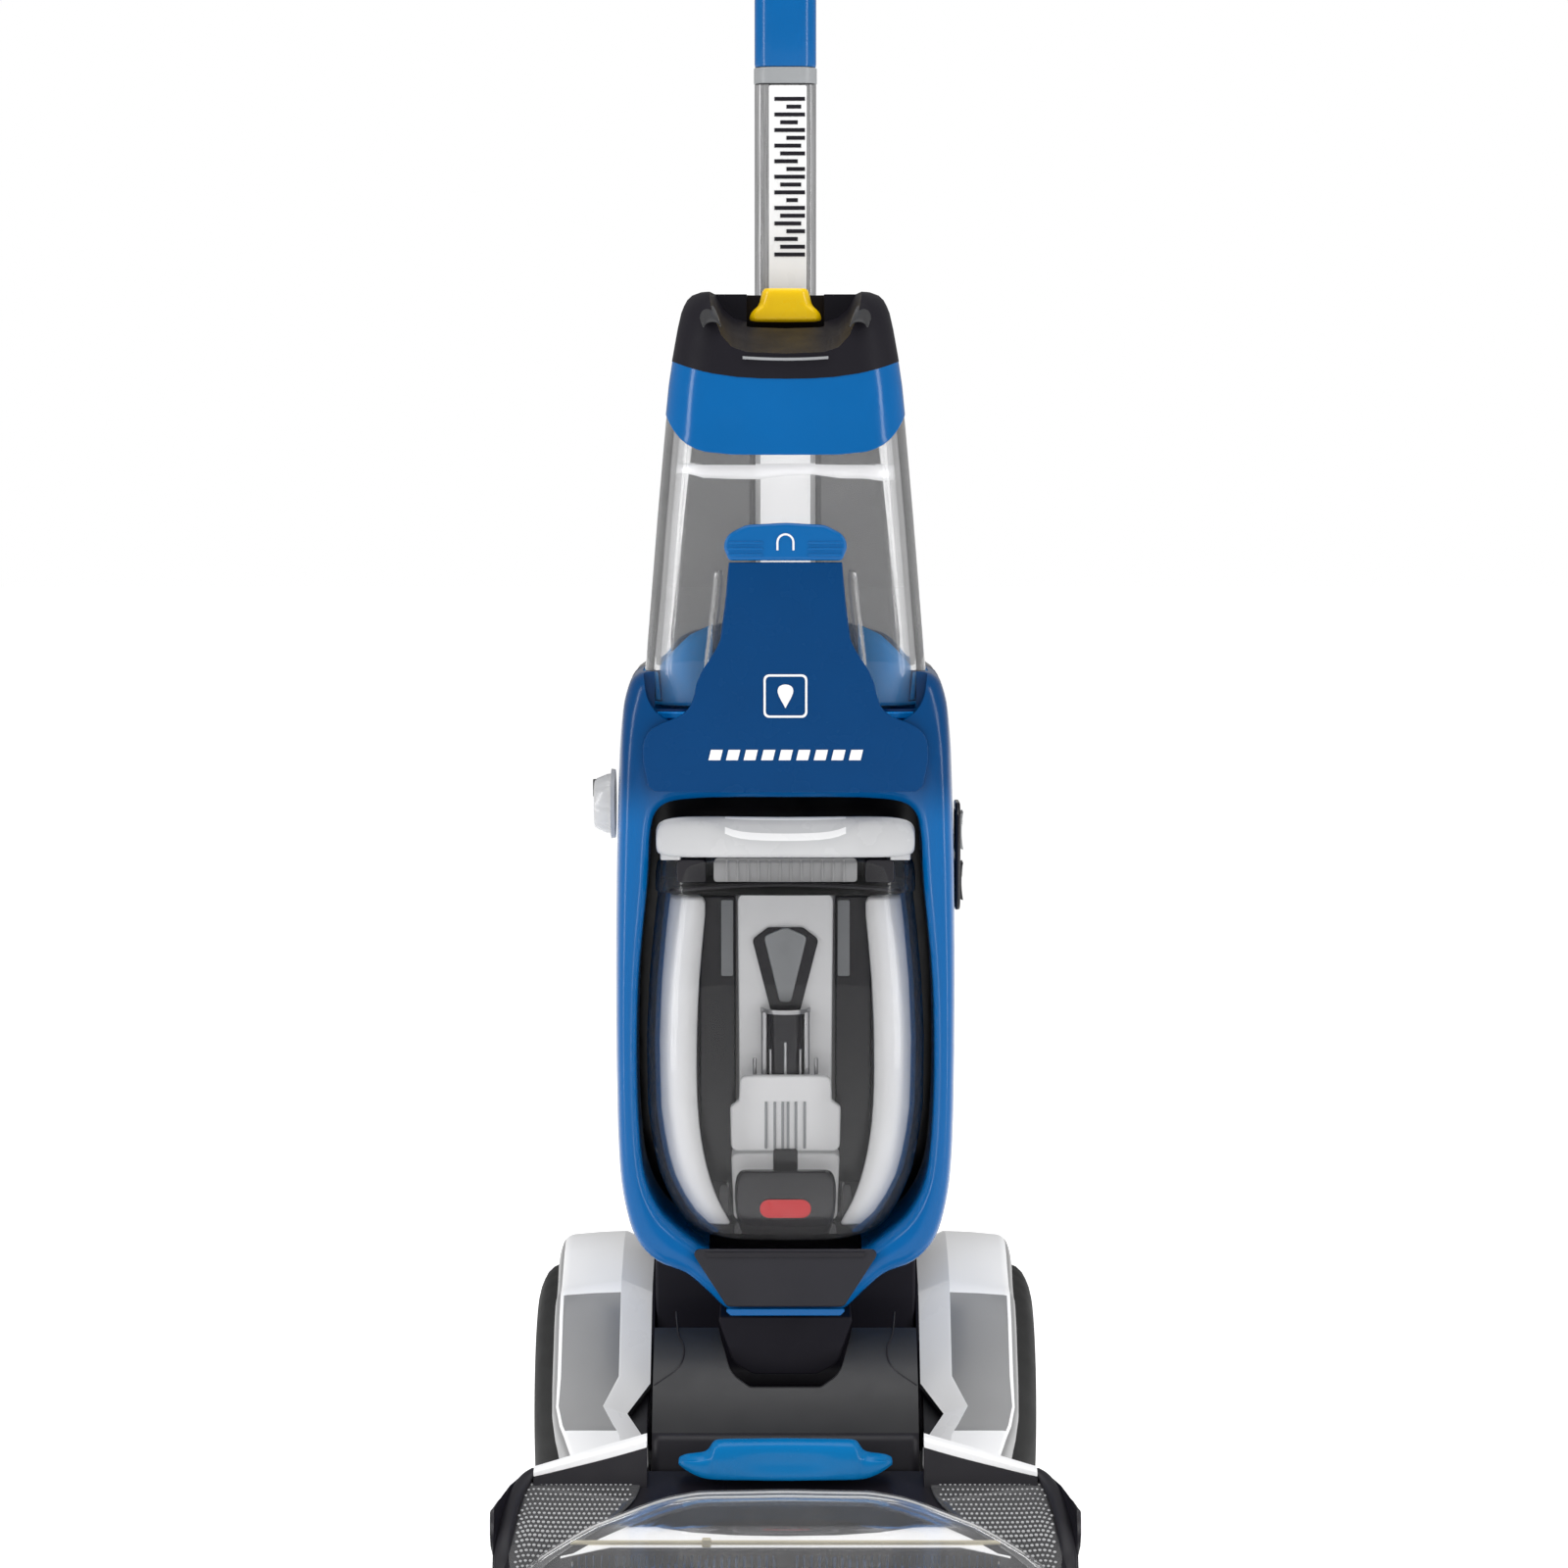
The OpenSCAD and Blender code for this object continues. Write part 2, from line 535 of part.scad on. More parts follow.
dirty_table = [[204, 48], [212, 61], [226, 69], [250, 76], [300, dirty_hw], [345, dirty_hw], [404, 75]];
dirty_front = [[204, -38], [212, -46], [226, -50], [250, -53], [300, -56], [345, -56], [404, -50]];
function dirty_ring(z, inset) = tank_ring(lookup(z, dirty_table) - inset, lookup(z,
    dirty_front) + inset, 50 - inset, 26 - inset / 2, 7, z);
module dirty_tank_shell() color(smoke) {
    outer = [204, 207, 212, 218, 226, 238, 250, 272, 300, 345, 375, 404];
    loft(concat([for (z = outer) dirty_ring(z, 0)], [for (i = [11:-1:2]) dirty_ring(outer[i],
        tank_wall)]));
}
module dirty_tank_lid() color(ink) {
    difference() {
        loft([for (s = [[404.2, 0], [418, -0.5], [423, 2]]) tank_ring(75 - s[1], -50 + s[1], 50 - s[1],
        26, 7, s[0])]);
        loft([for (z = [400, 419]) tank_ring(71, -46, 46, 23, 7, z)]);
    }
    // Carry handle: a bar across the front, low at its middle, on an arm at each side
    ext_y(-61, -50) polygon(rounded(mirrored([[0, 437, 0], [28, 437, 8], [42, 445, 8], [72, 443, 5],
        [73, 420, 3], [0, 420, 0]])));
    both_sides() block([58, -52, 421], [71, -12, 441]);
}
module dirty_tank_stack() color(grey) {
    ext_z(212.5, 398) difference() {
        translate([0, 20]) rrect(56, 24, 5);
        translate([0, 20]) rrect(51, 19, 3);
    }
    ext_y(-46, -20) polygon(rounded(mirrored([[0, 250, 0], [26, 250, 5], [30, 212.5, 3], [0, 212.5,
        0]])));
    block([-12, -22, 212.5], [12, 10, 218]);
}
module tank_float() color(silver) difference() {
    ext_z(254, 300) translate([0, -18]) rrect(66, 30, 6);
    ext_z(253, 290) translate([0, -18]) rrect(60, 24, 4);
}

// ---- handle -----------------------------------------------------------------------

module handle_tube() color(silver) ext_z(560, tube_top - 0.3) difference() {
    translate([0, tube_y]) rrect(tube_w, tube_d, 8);
    translate([0, tube_y]) rrect(tube_w - 4, tube_d - 4, 6);
    for (sx = [-1, 1]) translate([sx * 11, tube_y - tube_d / 2]) circle(0.9, $fn = 16);
}

grip_w = 36;                      // width of the loop's section
grip_d = 24;
loop_r = 34;
loop_half = 30;
loop_c = [162.7, 1036];           // centre of the loop in the YZ plane
foot_r = 22;                      // turn at the lower rear corner of the loop
foot_b = -20;
bend_r = 100;                     // bend from the stem into the front limb
stem_top = 951.5;
// Loop plane mapped to the part: local (a, b, c) goes to Y = a cos + b sin, Z = b cos - a sin, X = c
module loop_plane() translate([0, loop_c.x, loop_c.y]) multmatrix([[0, 0, 1, 0],
    [cos(grip_lean), sin(grip_lean), 0, 0], [-sin(grip_lean), cos(grip_lean), 0, 0], [0, 0, 0,
        1]]) children();
function to_part(p) = loop_c + [p.x * cos(grip_lean) + p.y * sin(grip_lean),
    p.y * cos(grip_lean) - p.x * sin(grip_lean)];

// The grip's section as a ring at [y, z], square to a path that leans turn degrees back from upright
function grip_ring(c, turn, cut = 0) = [for (k = [0:3], i = [0:4]) let (a = 90 * k + 22.5 * i, r = 10.5,
    u = (k == 0 || k == 3 ? 1 : -1) * (grip_w / 2 - r) + r * cos(a),
        v = (k < 2 ? 1 : -1) * (grip_d / 2 - r) + r * sin(a))
    [(1 - cut) * u, c.x + (1 - cut) * v * cos(turn), c.y - (1 - cut) * v * sin(turn)]];

module handle_loop() color(blue) difference() {
    foot = foot_b - foot_r;
    union() {
        loft(concat([grip_ring([tube_y, tube_top], 0)],
            [for (t = [0:5:grip_lean]) grip_ring([tube_y + bend_r * (1 - cos(t)),
            stem_top + bend_r * sin(t)], t)],
            [for (t = [0:7.5:180]) grip_ring(to_part([-loop_r * cos(t), loop_half + loop_r * sin(t)]),
            grip_lean + t)],
            [for (t = [0:7.5:90]) grip_ring(to_part([loop_r - foot_r + foot_r * cos(t),
            foot_b - foot_r * sin(t)]),
                grip_lean + 180 + t)],
            [grip_ring(to_part([14 - loop_r, foot]), grip_lean + 270)]));
        // The foot runs on into the front limb as a slightly slimmer neck
        loft([grip_ring(to_part([loop_r - foot_r - 4, foot]), grip_lean + 270, 0.06),
            grip_ring(to_part([-loop_r, foot]), grip_lean + 270, 0.12)]);
    }
    ext_z(tube_top - 1, tube_top + 40) translate([0, tube_y]) rrect(tube_w - 6, tube_d - 6, 6);
    loop_plane() block([loop_r - 13, -16, -8.4], [loop_r - 1, 34, 8.4]);
}
module spray_trigger() color(ink) loop_plane() {
    translate([0, 0, -7.8]) linear_extrude(15.6) polygon(rounded([[loop_r - 2.5, 30, 0], [loop_r - 15,
        28, 3], [loop_r - 19, 10, 12],
        [loop_r - 20, -10, 3], [loop_r - 11, -14, 2], [loop_r - 8, 18, 0]]));
}

// ---- assembly -----------------------------------------------------------------------

foot_chassis();
saddle_cover();
left_fairing();
right_fairing();
brush_housing();
skid_pads();
wheel_axles();
brush_motor();
drive_belt();
brush_belt();
spray_jets();
trim_strips();
support_rollers();
recline_pedal();
nozzle_cover();
nozzle_window();
nozzle_lip_seal();
nozzle_latch();
brush_core(brush_y[0], false);  // front_brush_core
bristle_rows(brush_y[0]);  // front_brush_bristles
brush_core(brush_y[1], true);  // rear_brush_core
bristle_rows(brush_y[1]);  // rear_brush_bristles
drive_pulley();
left_tyre();
left_hub();
right_tyre();
right_hub();
front_shell();
header_cowl();
rear_shell();
neck_housing();
bay_liner();
bay_apron();
suction_motor();
suction_fan();
water_pump();
heater_block();
spine_sleeve();
hose_port();
hose_door();
cord_gland();
lower_cord_hook();
upper_cord_hook();
switch_bezel();
power_rocker();
heat_rocker();
mode_knob();
tank_latch();
body_screws();
clean_tank_shell();
clean_tank_band();
clean_tank_cap();
tank_button();
dirty_tank_shell();
dirty_tank_lid();
dirty_tank_stack();
tank_float();
handle_tube();
handle_loop();
spray_trigger();
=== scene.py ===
"""Upright carpet cleaner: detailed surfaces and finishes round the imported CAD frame.

Lengths are millimetres in the part's own frame: +X right as seen from the front, +Y rear, +Z up, floor at Z 0.
An outline is a list of corners with a radius each. A table is a list of (key, value) pairs read by lookup().
"""
import json
import math
import random

import bmesh
import bpy
from mathutils import Matrix, Vector


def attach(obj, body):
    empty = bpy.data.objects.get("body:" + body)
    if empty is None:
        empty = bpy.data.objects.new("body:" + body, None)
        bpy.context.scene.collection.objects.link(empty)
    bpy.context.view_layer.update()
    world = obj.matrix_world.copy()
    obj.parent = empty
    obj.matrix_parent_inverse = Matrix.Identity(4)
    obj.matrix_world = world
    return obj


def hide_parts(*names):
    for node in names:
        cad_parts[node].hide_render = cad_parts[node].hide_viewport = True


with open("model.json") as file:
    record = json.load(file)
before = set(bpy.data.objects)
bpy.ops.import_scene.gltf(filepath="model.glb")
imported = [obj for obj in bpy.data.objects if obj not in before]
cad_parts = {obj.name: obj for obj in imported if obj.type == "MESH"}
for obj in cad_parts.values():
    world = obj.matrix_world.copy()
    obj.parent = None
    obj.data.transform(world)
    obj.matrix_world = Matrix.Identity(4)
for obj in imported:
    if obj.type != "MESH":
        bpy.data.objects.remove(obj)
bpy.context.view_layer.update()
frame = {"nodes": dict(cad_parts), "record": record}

MM = 0.001
PIVOT = (95.0, 82.0)                # y, z of the recline axis and wheel axle
BRUSHES = ((-176.0, "front_brush"), (-128.0, "rear_brush"))     # y and body of each roll
BRUSH_Z = 24.0
TUBE_Y = 78.0
KNOB = (-12.0, 452.0)               # y, z of the mode knob's axis
POWER_Z, HEAT_Z = 437, 408          # heights of the two rockers
SIDES = ((1, "right"), (-1, "left"))
CAMERA_AT = (-0.0008, -2.4265, 0.6625)      # metres
CAMERA_AIM = (-0.0008, 0.0, 0.4622)
CAMERA_LENS = 97.27
FLOOR_REACH = 16000.0
FLOOR_GLOW = 0.69
SURROUND_LIGHT = 0.36               # how much the white surround lights the machine


# ---- materials ----------------------------------------------------------------------------

def node_material(name):
    """An empty node material and its tree, output node and object coordinates."""
    m = bpy.data.materials.new(name)
    m.use_nodes = True
    tree = m.node_tree
    tree.nodes.clear()
    out = tree.nodes.new("ShaderNodeOutputMaterial")
    coords = tree.nodes.new("ShaderNodeTexCoord")
    return m, tree, out, coords.outputs["Object"]


def noise(tree, coords, scale, detail=3.0):
    """A noise texture's value at the coordinates."""
    n = tree.nodes.new("ShaderNodeTexNoise")
    n.inputs["Scale"].default_value = scale
    n.inputs["Detail"].default_value = detail
    tree.links.new(coords, n.inputs["Vector"])
    return n.outputs["Fac"]


def spread(tree, value, low, high):
    """value's 0.3 to 0.7 stretched over low to high."""
    n = tree.nodes.new("ShaderNodeMapRange")
    n.inputs["From Min"].default_value = 0.3
    n.inputs["From Max"].default_value = 0.7
    n.inputs["To Min"].default_value = low
    n.inputs["To Max"].default_value = high
    tree.links.new(value, n.inputs["Value"])
    return n.outputs["Result"]


def two_tone(tree, value, a, b):
    """A colour between a and b by value."""
    n = tree.nodes.new("ShaderNodeMix")
    n.data_type = "RGBA"
    tree.links.new(value, n.inputs["Factor"])
    n.inputs["A"].default_value = (*a, 1.0)
    n.inputs["B"].default_value = (*b, 1.0)
    return n.outputs["Result"]


def bump(tree, height, strength, distance):
    """A normal bent by the height."""
    n = tree.nodes.new("ShaderNodeBump")
    n.inputs["Strength"].default_value = strength
    n.inputs["Distance"].default_value = distance
    tree.links.new(height, n.inputs["Height"])
    return n.outputs["Normal"]


def shade(colour, k):
    """A colour made k times as bright."""
    return tuple(min(1.0, c * k) for c in colour)


def plastic(name, colour, rough, swing=0.05, grain=700.0, grain_depth=0.00003, metal=0.0, coat=0.0, tone=0.07,
            shine=0.35, glow=0.0):
    """Moulded plastic or metal: slow tone and gloss changes, with a fine grain in the surface."""
    m, tree, out, at = node_material(name)
    p = tree.nodes.new("ShaderNodeBsdfPrincipled")
    p.inputs["Metallic"].default_value = metal
    p.inputs["Specular IOR Level"].default_value = shine
    p.inputs["Coat Weight"].default_value = coat
    p.inputs["Coat Roughness"].default_value = 0.06
    # glow makes the surface give off its own colour; where it is set, it is painted light
    p.inputs["Emission Color"].default_value = (*colour, 1.0)
    p.inputs["Emission Strength"].default_value = glow
    slow = noise(tree, at, 16.0)
    tree.links.new(two_tone(tree, spread(tree, slow, 0.0, 1.0), shade(colour, 1 - tone), shade(colour, 1 + tone)),
                   p.inputs["Base Color"])
    tree.links.new(spread(tree, noise(tree, at, 60.0), max(0.02, rough - swing), rough + swing), p.inputs["Roughness"])
    tree.links.new(bump(tree, noise(tree, at, grain, 2.0), 0.35, grain_depth), p.inputs["Normal"])
    tree.links.new(p.outputs["BSDF"], out.inputs["Surface"])
    return m


def clear(name, tint, body, face_on, edge_on, rough=0.04, gloss=1.45, glow=0.0):
    """Clear or smoked plastic: more solid where seen at a slant, with a mirror-like skin."""
    m, tree, out, at = node_material(name)
    see = tree.nodes.new("ShaderNodeBsdfTransparent")
    see.inputs["Color"].default_value = (*tint, 1.0)
    solid = tree.nodes.new("ShaderNodeBsdfPrincipled")
    solid.inputs["Roughness"].default_value = 0.25
    # glow makes the body give off its own colour; where it is set, it is painted light
    solid.inputs["Emission Color"].default_value = (*body, 1.0)
    solid.inputs["Emission Strength"].default_value = glow
    tree.links.new(two_tone(tree, spread(tree, noise(tree, at, 22.0), 0.0, 1.0), shade(body, 0.9), shade(body, 1.1)),
                   solid.inputs["Base Color"])
    slant = tree.nodes.new("ShaderNodeLayerWeight")
    slant.inputs["Blend"].default_value = 0.35
    share = tree.nodes.new("ShaderNodeMapRange")
    share.inputs["To Min"].default_value = face_on
    share.inputs["To Max"].default_value = edge_on
    tree.links.new(slant.outputs["Facing"], share.inputs["Value"])
    inner = tree.nodes.new("ShaderNodeMixShader")
    tree.links.new(share.outputs["Result"], inner.inputs["Fac"])
    tree.links.new(see.outputs["BSDF"], inner.inputs[1])
    tree.links.new(solid.outputs["BSDF"], inner.inputs[2])
    skin = tree.nodes.new("ShaderNodeBsdfGlossy")
    skin.inputs["Color"].default_value = (1.0, 1.0, 1.0, 1.0)
    tree.links.new(spread(tree, noise(tree, at, 40.0), rough * 0.6, rough * 1.6), skin.inputs["Roughness"])
    ripple = bump(tree, noise(tree, at, 14.0, 1.0), 0.25, 0.0006)
    tree.links.new(ripple, skin.inputs["Normal"])
    fresnel = tree.nodes.new("ShaderNodeFresnel")
    fresnel.inputs["IOR"].default_value = gloss
    outer = tree.nodes.new("ShaderNodeMixShader")
    tree.links.new(fresnel.outputs["Fac"], outer.inputs["Fac"])
    tree.links.new(inner.outputs["Shader"], outer.inputs[1])
    tree.links.new(skin.outputs["BSDF"], outer.inputs[2])
    tree.links.new(outer.outputs["Shader"], out.inputs["Surface"])
    return m


def graded(name, low, high, z0, z1, rough=0.22):
    """Gloss plastic whose tone passes from low to high between two heights in metres."""
    m, tree, out, at = node_material(name)
    p = tree.nodes.new("ShaderNodeBsdfPrincipled")
    p.inputs["Specular IOR Level"].default_value = 0.18
    p.inputs["Coat Weight"].default_value = 0.08
    parts = tree.nodes.new("ShaderNodeSeparateXYZ")
    tree.links.new(at, parts.inputs["Vector"])
    step = tree.nodes.new("ShaderNodeMapRange")
    step.interpolation_type = "SMOOTHSTEP"
    step.inputs["From Min"].default_value = z0
    step.inputs["From Max"].default_value = z1
    tree.links.new(parts.outputs["Z"], step.inputs["Value"])
    tree.links.new(two_tone(tree, step.outputs["Result"], low, high), p.inputs["Base Color"])
    tree.links.new(spread(tree, noise(tree, at, 60.0), rough - 0.04, rough + 0.04), p.inputs["Roughness"])
    tree.links.new(bump(tree, noise(tree, at, 420.0, 2.0), 0.35, 0.00002), p.inputs["Normal"])
    tree.links.new(p.outputs["BSDF"], out.inputs["Surface"])
    return m


def brushed(name, colour, axis_scale, rough=0.32, metal=0.9):
    """Drawn or brushed metal: fine streaks along the axis whose scale is small."""
    m, tree, out, at = node_material(name)
    p = tree.nodes.new("ShaderNodeBsdfPrincipled")
    p.inputs["Metallic"].default_value = metal
    stretch = tree.nodes.new("ShaderNodeMapping")
    stretch.inputs["Scale"].default_value = axis_scale
    tree.links.new(at, stretch.inputs["Vector"])
    streak = noise(tree, stretch.outputs["Vector"], 1.0, 4.0)
    tree.links.new(two_tone(tree, spread(tree, streak, 0.0, 1.0), shade(colour, 0.88), shade(colour, 1.1)),
                   p.inputs["Base Color"])
    tree.links.new(spread(tree, streak, rough - 0.07, rough + 0.08), p.inputs["Roughness"])
    tree.links.new(bump(tree, streak, 0.3, 0.00004), p.inputs["Normal"])
    tree.links.new(p.outputs["BSDF"], out.inputs["Surface"])
    return m


BLUE = (0.0, 0.105, 0.33)
M = {
    "blue": plastic("gloss_blue", BLUE, 0.2, 0.04, 420, 0.00002, coat=0.12, tone=0.05, shine=0.2),
    # darker towards the top of the frame, to meet the brow: painted shade
    "blue_shell": graded("blue_shell", BLUE, (0.0, 0.046, 0.16), 0.44, 0.474),
    # a lighter blue for the window latch, standing for its highlights: painted light
    "blue_latch": plastic("latch_blue_lit", (0.0, 0.15, 0.4), 0.25, 0.04, 420, 0.00002, coat=0.08, tone=0.05, shine=0.15),
    # a lighter blue for the cradle floor seen through the clean tank: painted light
    "blue_lit": plastic("inner_blue", (0.0, 0.24, 0.72), 0.3, 0.04, 420, 0.00002, tone=0.05, shine=0.2),
    # a darker copy of the blue for the brow and tower: painted shade
    "blue_deep": plastic("shaded_blue", (0.0, 0.042, 0.15), 0.26, 0.04, 420, 0.00002, coat=0.05, tone=0.05, shine=0.1),
    "cap_black": plastic("cap_black", (0.012, 0.011, 0.015), 0.5, 0.05, 420, 0.00002, shine=0.1),
    "neck_dark": plastic("neck_dark", (0.010, 0.009, 0.014), 0.5, 0.05, 700, 0.00003, shine=0.12),
    # the fender's silver in three tones by face: a darker one for the front faces (painted shade) and two lighter,
    # glowing ones for the bevel, top band and outer edge (painted light); the lightest also serves the trim strips
    "silver_front": plastic("silver_front", (0.29, 0.29, 0.292), 0.34, 0.05, 900, 0.00001, coat=0.1, tone=0.03,
                            shine=0.25),
    "silver_bevel_lit": plastic("silver_bevel_lit", (0.6, 0.6, 0.605), 0.3, 0.05, 900, 0.00001, coat=0.1, tone=0.03, shine=0.3,
                            glow=0.5),
    "silver_top": plastic("silver_top", (0.8, 0.8, 0.805), 0.35, 0.05, 900, 0.0, tone=0.02, shine=0.3, glow=0.2),
    "black": plastic("gloss_black", (0.010, 0.009, 0.013), 0.16, 0.04, 420, 0.00002, coat=0.08, shine=0.3),
    "satin_black": plastic("satin_black", (0.015, 0.014, 0.018), 0.42, 0.06, 900, 0.00006, shine=0.25),
    "dark_grey": plastic("dark_grey", (0.034, 0.034, 0.036), 0.4, 0.06, 900, 0.00005, shine=0.25),
    "silver": plastic("silver_paint", (0.43, 0.43, 0.44), 0.3, 0.05, 1300, 0.00002, metal=0.55, coat=0.25, tone=0.04),
    "light_grey": plastic("light_grey", (0.5, 0.503, 0.512), 0.27, 0.05, 700, 0.00003, coat=0.2),
    "mid_grey": plastic("mid_grey", (0.3, 0.31, 0.32), 0.33, 0.05, 700, 0.00003),
    "white": plastic("off_white", (0.84, 0.84, 0.84), 0.3, 0.05, 700, 0.00003, coat=0.2, tone=0.03),
    # a faint glow brightens the yellow: painted light
    "yellow": plastic("button_yellow", (1.0, 0.62, 0.0), 0.28, 0.05, 500, 0.00003, coat=0.2, glow=0.12),
    "red": plastic("mark_red", (0.75, 0.012, 0.02), 0.3, 0.05, 500, 0.00002),
    "rubber": plastic("rubber", (0.018, 0.018, 0.018), 0.68, 0.08, 500, 0.0001),
    "steel": brushed("steel", (0.5, 0.5, 0.51), (20.0, 900.0, 900.0), 0.3),
    "alloy": brushed("satin_alloy", (0.46, 0.46, 0.465), (1500.0, 1500.0, 25.0), 0.3, 0.8),
    "bristle": plastic("bristle_blue", (0.02, 0.13, 0.42), 0.45, 0.08, 2500, 0.00008),
    "smoke": clear("smoke_clear", (0.93, 0.93, 0.932), (0.6, 0.6, 0.605), 0.04, 0.6, gloss=1.3),
    "smoke_mid": clear("smoke_mid", (0.62, 0.62, 0.62), (0.3, 0.3, 0.3), 0.3, 0.6, gloss=1.15),
    "smoke_plate": clear("smoke_plate", (0.55, 0.55, 0.57), (0.1, 0.1, 0.105), 0.55, 0.85),
    "glassy": clear("clear_plastic", (0.98, 0.98, 0.982), (0.75, 0.75, 0.76), 0.0, 0.3, gloss=1.2),
    # a mid grey with a glow, for the lid's ribbed panel: painted light
    "mid_lit": plastic("inner_mid_grey", (0.3, 0.3, 0.305), 0.35, 0.05, 700, 0.0, tone=0.05, glow=0.25),
    # a glowing white that stands for the highlights round the suction inlet: painted light
    "inlet_white": plastic("inlet_white", (0.8, 0.8, 0.8), 0.35, 0.04, 700, 0.0, tone=0.06, glow=0.6),
    "nozzle_black": plastic("nozzle_black", (0.010, 0.009, 0.013), 0.3, 0.03, 420, 0.0, shine=0.25),
    "cream": plastic("cream", (0.78, 0.7, 0.5), 0.35, 0.05, 700, 0.00002),
    # a white and a grey with a glow, for parts in the shade inside the dirty tank: painted light
    "lit_white": plastic("inner_white", (0.74, 0.74, 0.745), 0.35, 0.05, 700, 0.0, tone=0.05, glow=0.05),
    "lit_grey": plastic("inner_grey", (0.62, 0.62, 0.625), 0.35, 0.05, 700, 0.0, tone=0.05, glow=0.22),
    # a white with a strong glow: painted light
    "spine_white": plastic("spine_white", (0.92, 0.92, 0.92), 0.35, 0.05, 700, 0.0, tone=0.03, glow=0.95),
    # a lighter blue with a glow for the cradle seen through the clean tank: painted light
    "blue_cup": plastic("cup_blue_glowing", (0.005, 0.2, 0.5), 0.3, 0.04, 420, 0.00002, tone=0.08, shine=0.15, glow=0.3),
    "cover_dark": plastic("cover_dark", (0.022, 0.0215, 0.027), 0.45, 0.06, 900, 0.00003, shine=0.2),
    # the water line glows: painted light
    "water": clear("water_line", (0.97, 0.97, 0.98), (0.95, 0.95, 0.96), 0.62, 0.9, glow=0.7),
}


# ---- mesh helpers ---------------------------------------------------------------------------

def make(name, verts, faces, material, body, slot=None, replaces=(), bevel=0.0, steps=2, sub=0, solid=0.0, angle=32):
    """A named piece from millimetre points, smoothed, with optional solidify, bevel and subdivision."""
    mesh = bpy.data.meshes.new(name)
    mesh.from_pydata([tuple(c * MM for c in v) for v in verts], [], faces)
    mesh.validate()
    bm = bmesh.new()
    bm.from_mesh(mesh)
    bmesh.ops.remove_doubles(bm, verts=bm.verts, dist=2e-6)
    bmesh.ops.recalc_face_normals(bm, faces=bm.faces)
    if all(e.is_manifold for e in bm.edges) and bm.calc_volume(signed=True) < 0:
        bmesh.ops.reverse_faces(bm, faces=bm.faces)
    bm.to_mesh(mesh)
    bm.free()
    ob = bpy.data.objects.new(name, mesh)
    bpy.context.scene.collection.objects.link(ob)
    for p in mesh.polygons:
        p.use_smooth = True
    mesh.materials.append(M[material])
    if solid:
        mod = ob.modifiers.new("thickness", "SOLIDIFY")
        mod.thickness = solid * MM
        mod.offset = -1.0
    if sub:
        mod = ob.modifiers.new("round", "SUBSURF")
        mod.levels = mod.render_levels = sub
    if bevel:
        mod = ob.modifiers.new("edges", "BEVEL")
        mod.width = bevel * MM
        mod.segments = steps
        mod.limit_method = "ANGLE"
        mod.angle_limit = math.radians(angle)
        mod.harden_normals = True
    elif not sub:
        mesh.set_sharp_from_angle(angle=math.radians(angle))
    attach(ob, body)
    if replaces:
        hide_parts(*replaces)
    return ob


def maker(body, slot):
    """A function that makes pieces from (points, faces) pairs, all on one body; slot is not used."""
    def part(name, shape, material, *replaces, **look):
        """One piece and the CAD nodes that it replaces."""
        return make(name, *shape, material, body, slot, replaces, **look)
    return part


def paint_light_on_faces(ob, rule, *extra):
    """Gives faces one of the extra materials as painted light and shade: rule(normal, centre in mm, index) returns its
    number, or 0.
    """
    for name in extra:
        ob.data.materials.append(M[name])
    for p in ob.data.polygons:
        p.material_index = rule(p.normal, p.center / MM, p.index)


def loft(rings, caps=(True, True), hoop=False):
    """Points and faces of a skin through rings of equal length."""
    n, m = len(rings[0]), len(rings)
    verts = [p for r in rings for p in r]
    faces = [(i * n + j, i * n + (j + 1) % n, ((i + 1) % m) * n + (j + 1) % n, ((i + 1) % m) * n + j)
             for i in range(m if hoop else m - 1) for j in range(n)]
    if not hoop and caps[0]:
        faces.append(tuple(range(n - 1, -1, -1)))
    if not hoop and caps[1]:
        faces.append(tuple((m - 1) * n + j for j in range(n)))
    return verts, faces


def strip(rows):
    """Points and faces of an open sheet through rows of equal length."""
    n = len(rows[0])
    return [p for r in rows for p in r], [(i * n + j, i * n + j + 1, (i + 1) * n + j + 1, (i + 1) * n + j)
                                          for i in range(len(rows) - 1) for j in range(n - 1)]


def prism(outline, axis, low, high):
    """A flat outline of (u, v) points pushed along axis: x takes (y, z), y takes (x, z), z takes (x, y)."""
    place = {"x": lambda u, v, w: (w, u, v), "y": lambda u, v, w: (u, w, v), "z": lambda u, v, w: (u, v, w)}[axis]
    return loft([[place(u, v, low) for u, v in outline], [place(u, v, high) for u, v in outline]])


def join(*parts):
    """Several (points, faces) pairs as one."""
    verts, faces = [], []
    for v, f in parts:
        base = len(verts)
        verts += v
        faces += [tuple(i + base for i in face) for face in f]
    return verts, faces


def box(low, high):
    """A block between two opposite corners."""
    return prism([(low[0], low[1]), (high[0], low[1]), (high[0], high[1]), (low[0], high[1])], "z", low[2], high[2])


def turned(n):
    """The angles of n even steps round a full turn."""
    return [2 * math.pi * k / n for k in range(n)]


def tube(p0, p1, r, n=24):
    """A round bar between two points."""
    a, b = Vector(p0), Vector(p1)
    turn = (b - a).to_track_quat("Z", "Y")
    return loft([[tuple(c + turn @ Vector((r * math.cos(t), r * math.sin(t), 0))) for t in turned(n)] for c in (a, b)])


def lookup(x, table):
    """Straight-line value of a table of (key, value) at x."""
    if x <= table[0][0]:
        return table[0][1]
    for (a, va), (b, vb) in zip(table, table[1:]):
        if x <= b:
            return va + (vb - va) * (x - a) / (b - a)
    return table[-1][1]


